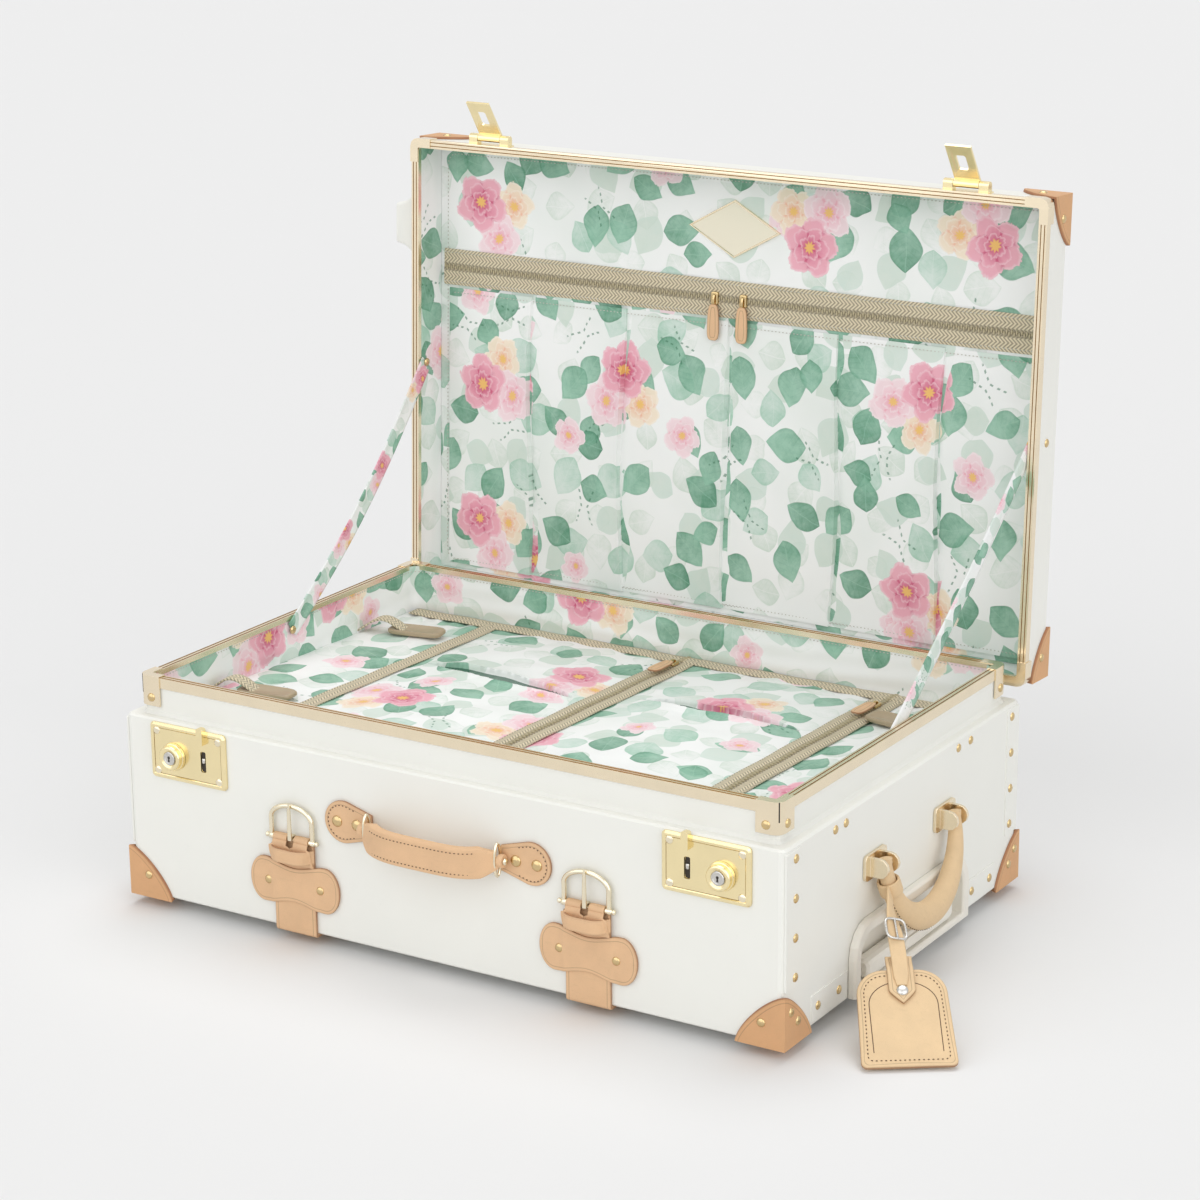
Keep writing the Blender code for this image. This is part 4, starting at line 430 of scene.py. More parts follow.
def finish_print(name, colours, scale):
    """White lining cloth with a watercolour print of oval leaves, bunched blossoms and seed sprigs."""
    finish = Finish(name)
    flat = finish.vector("MULTIPLY", finish.cloth_place(), (scale, scale, 0.0))
    wobble = finish.node("ShaderNodeTexNoise", {}, {"Vector": flat, "Scale": 26.0, "Detail": 2.0})
    drift = finish.vector("SUBTRACT", wobble.outputs["Color"], (0.5, 0.5, 0.5))
    place = finish.vector("ADD", flat, finish.vector("MULTIPLY", drift, (0.010, 0.010, 0.0)))
    wash = finish.noise(flat, 75.0, 4.0, 0.65)
    clouds = finish.noise(flat, 7.0, 2.0, 0.5)
    ground = colours.ground
    pale = colours.leaf_pale
    middle = colours.leaf_mid
    deep = colours.leaf_deep
    washed = [0.45 * a + 0.55 * b for a, b in zip(middle, ground)]
    tone = finish.blend(finish.smooth(clouds, 0.42, 0.75) * 0.30, ground, pale)
    leaves = ((0.047, 3.0, 0.0205, 0.0165, 0.90, ground, pale, 0.75),
              (0.054, 5.0, 0.0225, 0.0180, 0.55, pale, washed, 0.6),
              (0.058, 7.0, 0.0230, 0.0185, 0.50, washed, middle, 0.7),
              (0.060, 11.0, 0.0240, 0.0180, 0.58, middle, deep, 0.8),
              (0.056, 17.0, 0.0220, 0.0170, 0.40, middle, deep, 0.85))
    for layer in leaves:
        tone = leaf_layer(finish, place, wash, tone, *layer)
    x, y, _, _, third = scattered(finish, place, 0.088, 0.4, 23.0)
    bend = abs(y) - abs(x) * 0.35
    beads = finish.maths("SINE", x * 950.0)
    sprig = (1.0 - finish.smooth(abs(bend - 0.0035), 0.0006, 0.0014)) * finish.smooth(beads, -0.1, 0.5)
    sprig = sprig * (1.0 - finish.smooth(abs(x), 0.017, 0.020)) * (third < 0.42)
    tone = finish.blend(sprig * 0.7, tone, shade(deep, 0.8))
    heart = colours.heart
    rose = (colours.petal, colours.petal_deep, heart)
    blush = ([c * 0.45 + 0.52 for c in colours.petal], colours.petal, heart)
    warm = [0.5 * a + 0.5 * b for a, b in zip(heart, colours.petal)]
    peach = ([0.55 + 0.40 * c for c in heart], warm, heart)
    x, y, first, second, third = scattered(finish, place, 0.118, 0.40, 29.0)
    tone = blossom(finish, x, y, first, (0.72 + second * 0.28) * 0.023, third < 0.34, wash, tone, blush)
    x, y, first, _, third = scattered(finish, place, 0.172, 0.34, 37.0)
    bunch = ((0.004, -0.024, 0.0240, peach), (-0.021, 0.006, 0.0265, blush), (0.019, 0.011, 0.0290, rose))
    for shift_x, shift_y, size, tones in bunch:
        spin = first + size * 90.0
        tone = blossom(finish, x - shift_x, y - shift_y, spin, size, third < 0.72, wash, tone, tones)
    # Painted shade inside the divider's open slits, which the divider marks with a negative inset
    inside = finish.attribute("inset") < 0.0
    tone = finish.blend(inside * (0.70 + wash * 0.25), tone, colours.slit)
    thread_u, thread_v, _ = finish.split(finish.vector("MULTIPLY", flat, (5200.0, 5200.0, 0.0)))
    weave = finish.maths("SINE", thread_u) * finish.maths("SINE", thread_v)
    return finish.surface({"Base Color": tone, "Roughness": 0.52 + clouds * 0.14},
                          {"Specular IOR Level": 0.3, "Sheen Weight": 0.08},
                          weave * 0.5 + wash * 0.8, 0.12, 0.0003)


def finish_tape(colours):
    """Herringbone zip tape: slanting ribs that turn back at each row, fuzzy threads and a shaded middle."""
    finish = Finish("zip_tape")
    place = finish.cloth_place()
    along, across, _ = finish.split(place)
    row = finish.maths("PINGPONG", across + 0.0002, 0.0047)
    ribs = finish.maths("SINE", (along + row * 1.1) * 1500.0)
    fuzz = finish.noise(place, 900.0, 3.0, 0.6)
    clouds = finish.noise(place, 40.0, 2.0, 0.5)
    woven = finish.smooth(ribs + fuzz * 0.8 - 0.4, -0.8, 0.5)
    tone = finish.blend(woven, shade(colours.tape, 0.52), shade(colours.tape, 1.14))
    tone = finish.blend(clouds * 0.2, tone, colours.tape)
    # Painted shade darkens the middle of the tape along the teeth
    groove = 1.0 - finish.smooth(finish.attribute("inset"), 0.0030, 0.0050)
    tone = finish.blend(groove * 0.65, tone, shade(colours.tape, 0.38))
    return finish.surface({"Base Color": tone, "Roughness": 0.78 + fuzz * 0.12},
                          {"Specular IOR Level": 0.2, "Sheen Weight": 0.1}, woven + fuzz * 0.4, 0.6, 0.0006)


def finish_thread(name, colour):
    """Twisted sewing thread."""
    finish = Finish(name)
    place = finish.place()
    twist = finish.noise(place, 2600.0, 2.0, 0.5)
    tone = finish.blend(twist, shade(colour, 0.6), shade(colour, 1.25))
    return finish.surface({"Base Color": tone, "Roughness": 0.62 + twist * 0.2}, {}, twist, 0.3, 0.0003)


def finish_dark(colours):
    """Painted shade of a recess, with dust in it."""
    finish = Finish("dark_recess")
    dust = finish.noise(finish.place(), 300.0, 3.0, 0.6)
    tone = finish.blend(dust, colours.dark, shade(colours.dark, 2.2))
    return finish.surface({"Base Color": tone, "Roughness": 0.5 + dust * 0.3})


def finish_floor(colour):
    """Seamless paper floor with a faint tooth."""
    finish = Finish("studio_floor")
    tooth = finish.noise(finish.place(), 220.0, 2.0, 0.5)
    tone = finish.blend(tooth, shade(colour, 0.996), colour)
    return finish.surface({"Base Color": tone, "Roughness": 0.9 + tooth * 0.05}, {"Specular IOR Level": 0.0})


# Materials by finish
FINISHES = {}


def make_finishes(colours, sizes):
    """Makes every material of the case once."""
    for name, label, rough in (("frame_gold", "frame_gold", 0.16), ("stud_gold", "stud_gold", 0.16),
                               ("lock_gold", "lock_gold", 0.14), ("buckle_gold", "buckle_gold", 0.12),
                               ("groove", "lock_groove", 0.30), ("steel", "bright_steel", 0.20)):
        FINISHES[name] = finish_metal(label, getattr(colours, name), rough)
    for name, label in (("corner_tan", "leather_corner"), ("tan", "leather_tan"),
                        ("pale_tan", "leather_pale")):
        FINISHES[name] = finish_leather(label, getattr(colours, name), colours, sizes)
    for name, label in (("plastic", "cream_plastic"), ("teeth", "zip_teeth"), ("clip", "tie_clips"),
                        ("ivory", "plaque_ivory")):
        FINISHES[name] = finish_plastic(label, getattr(colours, name))
    for name, label in (("thread", "leather_thread"), ("lining_thread", "lining_thread")):
        FINISHES[name] = finish_thread(label, getattr(colours, name))
    FINISHES["board"] = finish_board(colours)
    FINISHES["print"] = finish_print("lining_print", colours, 1.0)
    FINISHES["stay_print"] = finish_print("stay_print", colours, 2.0)
    FINISHES["tape"] = finish_tape(colours)
    FINISHES["dark"] = finish_dark(colours)


def unit(vectors):
    """Every vector shortened or stretched to length one."""
    return vectors / np.linalg.norm(vectors, axis=-1, keepdims=True)


def opened(points):
    """Turns points given on the closed lid about the hinge line to where the open lid has them."""
    moved = np.array(points, float)
    out = moved[..., 1] - HINGE[1]
    rise = moved[..., 2] - HINGE[2]
    moved[..., 1] = HINGE[1] + out * math.cos(LID_ANGLE) + rise * math.sin(LID_ANGLE)
    moved[..., 2] = HINGE[2] - out * math.sin(LID_ANGLE) + rise * math.cos(LID_ANGLE)
    return moved


def points_of(*parts):
    """Points from their coordinates, each a number or an array."""
    return np.stack(np.broadcast_arrays(*parts), -1)


def circle(count):
    """Angles of a full turn in even steps."""
    return np.arange(count) / count * 2.0 * np.pi


def run_along(line):
    """Distance along a line from its start to each of its points."""
    return np.concatenate([[0.0], np.cumsum(np.linalg.norm(np.diff(line, axis=0), axis=1))])


class Piece:
    """Gathers grids of points into one mesh with a cloth map and the distance from the cut edge."""

    def __init__(self):
        self.points = []
        self.faces = []
        self.cloth = []
        self.inset = []
        self.count = 0

    def add(self, points, faces, cloth=None, inset=None):
        """Adds points and the faces between them."""
        total = len(points)
        self.points.append(points)
        self.faces.append(faces + self.count)
        self.cloth.append(np.zeros((total, 2)) if cloth is None else cloth.reshape(-1, 2))
        self.inset.append(np.full(total, NO_EDGE) if inset is None else inset.reshape(-1))
        self.count += total

    def quads(self, rows, columns, wrap_rows, wrap_columns):
        """Quads between neighbouring points of a grid, closed on itself where asked."""
        low, left = np.meshgrid(np.arange(rows - (not wrap_rows)), np.arange(columns - (not wrap_columns)),
                                indexing="ij")
        high = (low + 1) % rows
        right = (left + 1) % columns
        corners = [low * columns + left, low * columns + right, high * columns + right, high * columns + left]
        return np.stack(corners, -1).reshape(-1, 4)

    def grid(self, points, wrap_rows=False, wrap_columns=False, cloth=None, inset=None):
        """Adds a grid of points as a surface."""
        rows, columns = points.shape[:2]
        faces = self.quads(rows, columns, wrap_rows, wrap_columns)
        self.add(points.reshape(-1, 3), faces, cloth, inset)

    def copies(self, template, places, frames):
        """Adds a small closed grid at each place, turned by the frame there."""
        rows, columns = template.shape[:2]
        points = np.einsum("nij,mj->nmi", frames, template.reshape(-1, 3)) + places[:, None, :]
        faces = self.quads(rows, columns, False, True)
        every = faces[None] + (np.arange(len(places)) * rows * columns)[:, None, None]
        self.add(points.reshape(-1, 3), every.reshape(-1, 4))

    def tube(self, line, up, side, rise, sides, power=2.0, loop=False):
        """Adds a rounded section of these half widths along a line; open ends are closed by a fan."""
        cosine, sine = rounded(sides, power)
        points = swept(line, up, side * cosine, rise * sine, loop)
        if not loop:
            first = np.repeat(points[:1].mean(1, keepdims=True), sides, 1)
            last = np.repeat(points[-1:].mean(1, keepdims=True), sides, 1)
            points = np.concatenate([first, points, last])
        self.grid(points, loop, True)

    def sew(self, line, normals, sizes):
        """Adds stitches at even steps along a line that lies on a surface with these normals."""
        both = np.concatenate([line, np.broadcast_to(normals, line.shape)], 1)
        places, ahead = spaced(both, sizes.stitch_step)
        self.copies(stitch(sizes), places[:, :3], frames_on(unit(places[:, 3:]), ahead))

    def make(self, name, body, finish, sharp=40.0, thickness=0.0, closed=True):
        """Makes the mesh object: doubles merged, faces outward, smooth up to an angle, riding on its body."""
        mesh = bpy.data.meshes.new(name)
        mesh.from_pydata(np.concatenate(self.points).tolist(), [], np.concatenate(self.faces).tolist())
        corner = np.empty(len(mesh.loops), np.int32)
        mesh.loops.foreach_get("vertex_index", corner)
        layer = mesh.uv_layers.new(name="cloth")
        layer.data.foreach_set("uv", np.concatenate(self.cloth)[corner].ravel())
        store = mesh.attributes.new("inset", "FLOAT", "POINT")
        store.data.foreach_set("value", np.concatenate(self.inset))
        work = bmesh.new()
        work.from_mesh(mesh)
        bmesh.ops.remove_doubles(work, verts=work.verts, dist=2e-6)
        if closed:
            bmesh.ops.recalc_face_normals(work, faces=work.faces)
        work.to_mesh(mesh)
        work.free()
        mesh.shade_smooth()
        mesh.set_sharp_from_angle(angle=math.radians(sharp))
        mesh.materials.append(FINISHES[finish])
        piece = bpy.data.objects.new(name, mesh)
        bpy.context.scene.collection.objects.link(piece)
        if thickness:
            solid = piece.modifiers.new("Thickness", "SOLIDIFY")
            solid.thickness = thickness
            solid.offset = -1.0
        if body:
            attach(piece, body)
        return piece


def skin(points, inset=None):
    """A piece of one surface whose rows close on themselves."""
    piece = Piece()
    piece.grid(points, wrap_columns=True, inset=inset)
    return piece


def swept(line, up, side, rise, loop=False):
    """A section carried along a line: offsets to the side and upwards at every point of the line."""
    ahead = np.roll(line, -1, 0) - np.roll(line, 1, 0) if loop else np.gradient(line, axis=0)
    ahead = unit(ahead)
    across = unit(np.cross(ahead, np.broadcast_to(up, line.shape)))
    above = np.cross(across, ahead)
    return line[:, None] + across[:, None] * side[..., None] + above[:, None] * rise[..., None]


def rounded(count, power):
    """Unit outline from a circle, power 2, towards a square: cosine and sine raised to 2 over the power."""
    turn = circle(count)
    cosine = np.cos(turn)
    sine = np.sin(turn)
    return np.sign(cosine) * np.abs(cosine) ** (2.0 / power), np.sign(sine) * np.abs(sine) ** (2.0 / power)


def spaced(line, step):
    """Points at even steps along a line, other columns read along with them, and the direction there."""
    run = run_along(line[:, :3])
    count = max(int(round(run[-1] / step)), 1)
    middle = (np.arange(count) + 0.5) * run[-1] / count

    def read(distance):
        """Every column of the line at these distances along it."""
        return np.stack([np.interp(distance, run, column) for column in line.T], -1)

    ahead = read(middle + 0.3 * step)[:, :3] - read(middle - 0.3 * step)[:, :3]
    return read(middle), unit(ahead)


def frames_on(normals, ahead=None):
    """A frame at each place as columns: ahead along the row, across it, and out of the surface."""
    if ahead is None:
        helper = np.where(np.abs(normals[:, 2:]) > 0.9, [[1.0, 0.0, 0.0]], [[0.0, 0.0, 1.0]])
        ahead = np.cross(helper, normals)
    ahead = unit(ahead)
    across = unit(np.cross(normals, ahead))
    return np.stack([ahead, across, np.cross(ahead, across)], -1)


def stitch(sizes):
    """One stitch: an oval thread that comes out of its hole, arches and goes in again."""
    share = np.linspace(-1.0, 1.0, 5)[:, None]
    turn = circle(6)
    radius = sizes.thread * np.sqrt(np.maximum(1.0 - share ** 2, 0.0))
    rise = radius * np.sin(turn) + sizes.thread * (0.4 - 0.9 * share ** 2)
    return points_of(share * sizes.stitch / 2.0, radius * np.cos(turn), rise)


def stud(radius, rise, sides=14):
    """A domed head: a quarter of an oval turned about its axis, with a short foot below the surface."""
    lift = np.linspace(0.5 * np.pi, 0.0, 5)
    reach = np.append(radius * np.cos(lift), radius)[:, None]
    level = np.append(rise * np.sin(lift), -RIVET_FOOT)[:, None]
    turn = circle(sides)
    return points_of(reach * np.cos(turn), reach * np.sin(turn), level)


def turned(profile, origin, axis, sides):
    """A profile of radius and height turned about an axis through a point."""
    facing = frames_on(unit(np.array([axis], float)))[0]
    turn = circle(sides)
    reach = np.array(profile, float)[:, :1]
    level = np.array(profile, float)[:, 1:]
    local = points_of(reach * np.cos(turn), reach * np.sin(turn), level)
    return local @ facing.T + np.array(origin, float)


def plate(outline, spine, thickness, edge):
    """A flat piece with rounded edges: rings shrink from the outline onto the spine, behind and in front.

    Gives the place in the plane, the height and the distance from the cut edge, one row for each ring."""
    reach = np.linalg.norm(spine - outline, axis=1)
    rings = [(1.0, 0.0, 0.0), (0.0, edge, 0.0), (0.0, 0.3 * edge, 0.3 * edge), (0.0, 0.0, edge)]
    rings += [(0.0, 0.0, thickness - edge), (0.0, 0.3 * edge, thickness - 0.3 * edge), (0.0, edge, thickness)]
    rings += [(0.0, step, thickness) for step in (0.0017, 0.0029, 0.0034, 0.0039, 0.0052)]
    rings += [(share, 0.0052, thickness) for share in (0.25, 0.5, 0.75, 1.0)]
    share, distance, height = np.array(rings).T[:, :, None]
    inset = np.minimum(distance, reach) + share * np.maximum(reach - distance, 0.0)
    flat = outline + (spine - outline) * (inset / np.maximum(reach, 1e-6))[..., None]
    inset[:2] = NO_EDGE
    return flat, height + 0.0 * inset, inset


def round_edges(item, name, width, angle):
    """Rounds the edges sharper than an angle in the view alone."""
    bevel = item.modifiers.new(name, "BEVEL")
    bevel.width = width
    bevel.segments = 2
    bevel.limit_method = "ANGLE"
    bevel.angle_limit = math.radians(angle)
    return bevel


def soften(node, width):
    """Welds a solid's loose triangles and rounds its edges."""
    weld = node.modifiers.new("Weld", "WELD")
    weld.merge_threshold = 1e-6
    round_edges(node, "Edges", width, 32.0).harden_normals = True


def corner_box(half_x, half_y, radius, count):
    """Points round a rectangle with round corners, evenly spaced to where they began, and their distances."""
    turn = np.linspace(0.0, 0.5 * np.pi, 9)
    middle_x = half_x - radius
    middle_y = half_y - radius
    corners = []
    for quarter, (sign_x, sign_y) in enumerate(((1, 1), (-1, 1), (-1, -1), (1, -1))):
        angle = turn + quarter * 0.5 * np.pi
        corners.append(points_of(sign_x * middle_x + radius * np.cos(angle),
                                 sign_y * middle_y + radius * np.sin(angle)))
    line = np.concatenate(corners)
    line = np.concatenate([line, line[:1]])
    run = run_along(line)
    at = np.linspace(0.0, run[-1], count)
    return points_of(np.interp(at, run, line[:, 0]), np.interp(at, run, line[:, 1])), at


def crumple(first, second, size, seed):
    """Soft creases from a few waves that cross at different slants, between about -1 and 1."""
    waves = ((1.0, 0.35), (-0.6, 0.9), (0.25, 1.3), (1.7, -0.8))
    total = 0.0
    for number, (along, across) in enumerate(waves):
        bend = np.sin((first * across - second * along) * 0.7 / size + seed + number)
        total = total + np.sin((first * along + second * across) / size + 1.3 * bend + seed * (number + 1.0))
    return total / 3.0


def lid_place(x, inward, depth):
    """Places a point of the lid's lining: along the lid, in from the hinge edge, and down from the panel."""
    return opened(points_of(x, HALF_W - inward, LID_PANEL - depth))


def divider_ground(y):
    """Height of the divider under its padding, which slopes up towards the front."""
    return 0.163 + 0.024 * (DIVIDER_Y - y)


def wall_band(half_x, half_y, radius, low, high, rows, swell, seed):
    """Cloth round a wall: rows from low to high, pushed inward by a soft swell and creases.

    Gives the points, the map and the length around; the push fades to a hair at both edges."""
    line, run = corner_box(half_x, half_y, radius, 420)
    ahead = np.gradient(line[:-1], axis=0)
    ahead = unit(np.concatenate([ahead, ahead[:1]]))
    level = np.linspace(low, high, rows)[:, None]
    share = (level - low) / (high - low)
    fold = np.sin(np.pi * (level - low) / 0.021 + 0.9 * np.sin(run * 11.0 + seed) + run * 3.0) ** 2
    creases = 0.25 + 0.55 * fold + 0.2 * crumple(run, level, 0.018, seed)
    push = swell * np.sin(np.pi * share) ** 0.7 * creases
    push = np.maximum(push, 0.0) + 0.0003
    x = line[:, 0] - ahead[:, 1] * push
    y = line[:, 1] + ahead[:, 0] * push
    return points_of(x, y, level), points_of(run, level), run[-1]


def tape_grid(x, y, height, across, rows=7):
    """A woven band along a line of x, y and height: rows across it, slightly crowned."""
    line = points_of(x, y, height)
    share = np.linspace(-1.0, 1.0, rows)
    ahead = unit(np.gradient(line, axis=0))
    side = unit(np.cross(ahead, [0.0, 0.0, 1.0]))
    points = line[:, None] + side[:, None] * (share * across / 2.0)[None, :, None]
    points[..., 2] += 0.0004 * (1.0 - share ** 4)[None]
    run = run_along(line)
    return points, points_of(run[:, None], share * across / 2.0)


def zip_teeth(piece, line, normal, sizes):
    """Two rows of round-shouldered teeth that mesh along a line."""
    turn = circle(8)
    section = np.array([[0.0, 0.0], [0.7, 0.0], [1.0, 0.35], [0.8, 0.9], [0.0, 1.0]])
    reach = section[:, :1]
    tooth = points_of(reach * np.cos(turn) * 0.00095, reach * np.sin(turn) * 0.0026, section[:, 1:] * 0.0017)
    places, ahead = spaced(line, sizes.tooth_step)
    normals = np.broadcast_to(np.array(normal, float), places.shape)
    frames = frames_on(normals, ahead)
    offset = 0.00096
    shift = np.where(np.arange(len(places)) % 2 == 0, offset, -offset)[:, None]
    piece.copies(tooth, places + frames[..., 1] * shift, frames)


class SUITCASE_OT_lid_lining(bpy.types.Operator):
    """Lines the lid: panel and wall cloth, the pleated pocket, its zip band and the plaque."""

    bl_idname = "suitcase.lid_lining"
    bl_label = "Line the lid"

    def execute(self, context):
        sizes = context.scene.suitcase_sizes
        self.panel(sizes)
        self.pocket(sizes)
        self.zip_band(sizes)
        self.plaque()
        return {"FINISHED"}

    def panel(self, sizes):
        """Cloth on the panel with a band up the walls, the band pushed inward between its seams."""
        half = 0.3437
        near = 0.0063
        far = 0.4497
        x, inward = np.meshgrid(np.linspace(-half, half, 120), np.linspace(near, far, 80), indexing="ij")
        fade = np.minimum(np.minimum(half - np.abs(x), inward - near), far - inward)
        fade = np.clip(fade / 0.02, 0.0, 1.0)
        depth = 0.0005 + fade * (0.0007 + 0.0006 * crumple(x, inward, 0.016, 1.0))
        piece = Piece()
        piece.grid(lid_place(x, inward, depth), cloth=points_of(x, inward))
        wall, cloth, around = wall_band(0.3442, 0.2222, 0.004, LID_PANEL - 0.0385, LID_PANEL - 0.0004, 22,
                                        0.0010, 2.0)
        piece.grid(opened(wall[::-1]), cloth=cloth[::-1] + [0.0, 0.3])
        made = piece.make("lid_lining_cloth", "lid", "print", 60.0, closed=False)
        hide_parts("lid_lining")
        area = 0.687 * 0.443 + around * 0.038
        area / around
        seam = Piece()
        line, _ = corner_box(0.3345, 0.2125, 0.010, 300)
        edge = points_of(line[:, 0], line[:, 1], LID_PANEL - 0.0016)
        seam.sew(opened(edge), opened(edge + [0.0, 0.0, -1.0]) - opened(edge), sizes)
        seam.make("lid_lining_seam", "lid", "lining_thread")

    def pocket(self, sizes):
        """Pleated pocket: each pleat rises to a ridge on one side and drops to a valley on the other."""
        half = 0.3325
        low = 0.012
        high = 0.303
        pleats = np.array([-0.231, -0.121, 0.0, 0.123, 0.234])
        fine = (pleats[:, None] + np.linspace(-0.012, 0.012, 41)[None]).ravel()
        across = np.unique(np.round(np.concatenate([np.linspace(-half, half, 150), fine]), 6))
        x, inward = np.meshgrid(across, np.linspace(low, high, 90), indexing="ij")
        share = (inward - low) / (high - low)
        body = np.sin(np.pi * np.clip(share, 0.0, 1.0)) ** 0.8
        edge = np.clip((half - np.abs(x)) / 0.025, 0.0, 1.0)
        depth = 0.0016 + edge * (0.0006 + body * (0.0024 + 0.0013 * crumple(x, inward, 0.021, 3.0)))
        for number, centre in enumerate(pleats):
            away = x - centre - 0.003 * np.sin(inward * 21.0 + number * 1.7)
            tall = 0.0016 + 0.0062 * body * (0.75 + 0.25 * np.sin(inward * 33.0 + number))
            left = np.where(away <= 0.0, tall * np.exp(away / 0.014), 0.0)
            drop = (0.0018 + 0.0022 * body) * np.exp(-np.maximum(away, 0.0) / 0.012)
            depth = depth + left - np.where(away > 0.0, drop, 0.0)
        gape = 0.0016 + 0.0014 * body
        slit = np.clip(1.0 - np.abs(x - 0.001) / gape, 0.0, 1.0) ** 0.5
        depth = np.maximum(depth * (1.0 - slit), 0.0008)
        limit = np.where(inward > 0.255, 0.0050, 0.0110)
        depth = limit * np.tanh(depth / limit)
        piece = Piece()
        piece.grid(lid_place(x, inward, depth), cloth=points_of(x * 1.04 + 0.7, inward + 0.5))
        made = piece.make("lid_pocket_cloth", "lid", "print", 75.0, closed=False)
        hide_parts("lid_pocket")
        seam = Piece()
        run = np.linspace(-0.327, 0.327, 160)
        for level, lift in ((0.0165, 0.0022), (0.2985, 0.0029)):
            line = lid_place(run, level, lift)
            seam.sew(line, lid_place(run, level, lift + 1.0) - line, sizes)
        seam.make("lid_pocket_seams", "lid", "lining_thread")

    def zip_band(self, sizes):
        """Two woven tapes side by side with meshing teeth between them, held down by rows of stitches."""
        half = 0.0185
        run = np.linspace(-0.3385, 0.3385, 140)
        x, share = np.meshgrid(run, np.linspace(-1.0, 1.0, 15), indexing="ij")
        depth = 0.0021 + 0.0007 * np.sqrt(np.clip(1.0 - share ** 8, 0.0, 1.0))
        depth = depth - 0.0006 * np.exp(-(share / 0.10) ** 2) + 0.00025 * np.sin(x * 60.0) * np.sign(share)
        piece = Piece()
        piece.grid(lid_place(x, ZIP_LEVEL + share * half, depth), cloth=points_of(x, share * half),
                   inset=np.abs(share) * half)
        made = piece.make("lid_zip_tape", "lid", "tape", closed=False)
        out = lid_place(0.0, ZIP_LEVEL, 1.0) - lid_place(0.0, ZIP_LEVEL, 0.0)
        teeth = Piece()
        zip_teeth(teeth, lid_place(run, ZIP_LEVEL, 0.0020), out, sizes)
        teeth.make("lid_zip_teeth", "lid", "teeth")
        seam = Piece()
        for inward in (0.3095, 0.3395):
            seam.sew(lid_place(run, inward, 0.0030), out, sizes)
        seam.make("lid_zip_seams", "lid", "lining_thread")

    def plaque(self):
        """Diamond plaque: a lozenge with soft corners, a gold rim and a cream field."""
        wave, rise = rounded(96, 1.0)

        def ring(scale, depth):
            """The lozenge at a share of its size and at a height over the panel."""
            return lid_place(0.003 + 0.0515 * scale * wave, 0.394 + 0.0285 * scale * rise, depth)

        profile = ((1.0, 0.0006), (1.0, 0.0024), (0.985, 0.0031), (0.945, 0.0031), (0.925, 0.0025))
        skin(np.stack([ring(*step) for step in profile])).make("lid_plaque_rim", "lid", "frame_gold")
        field = [ring(scale, 0.0024 + 0.0006 * (1.0 - scale)) for scale in (0.95, 0.7, 0.4, 0.0)]
        skin(np.stack(field)).make("lid_plaque_field", "lid", "ivory")


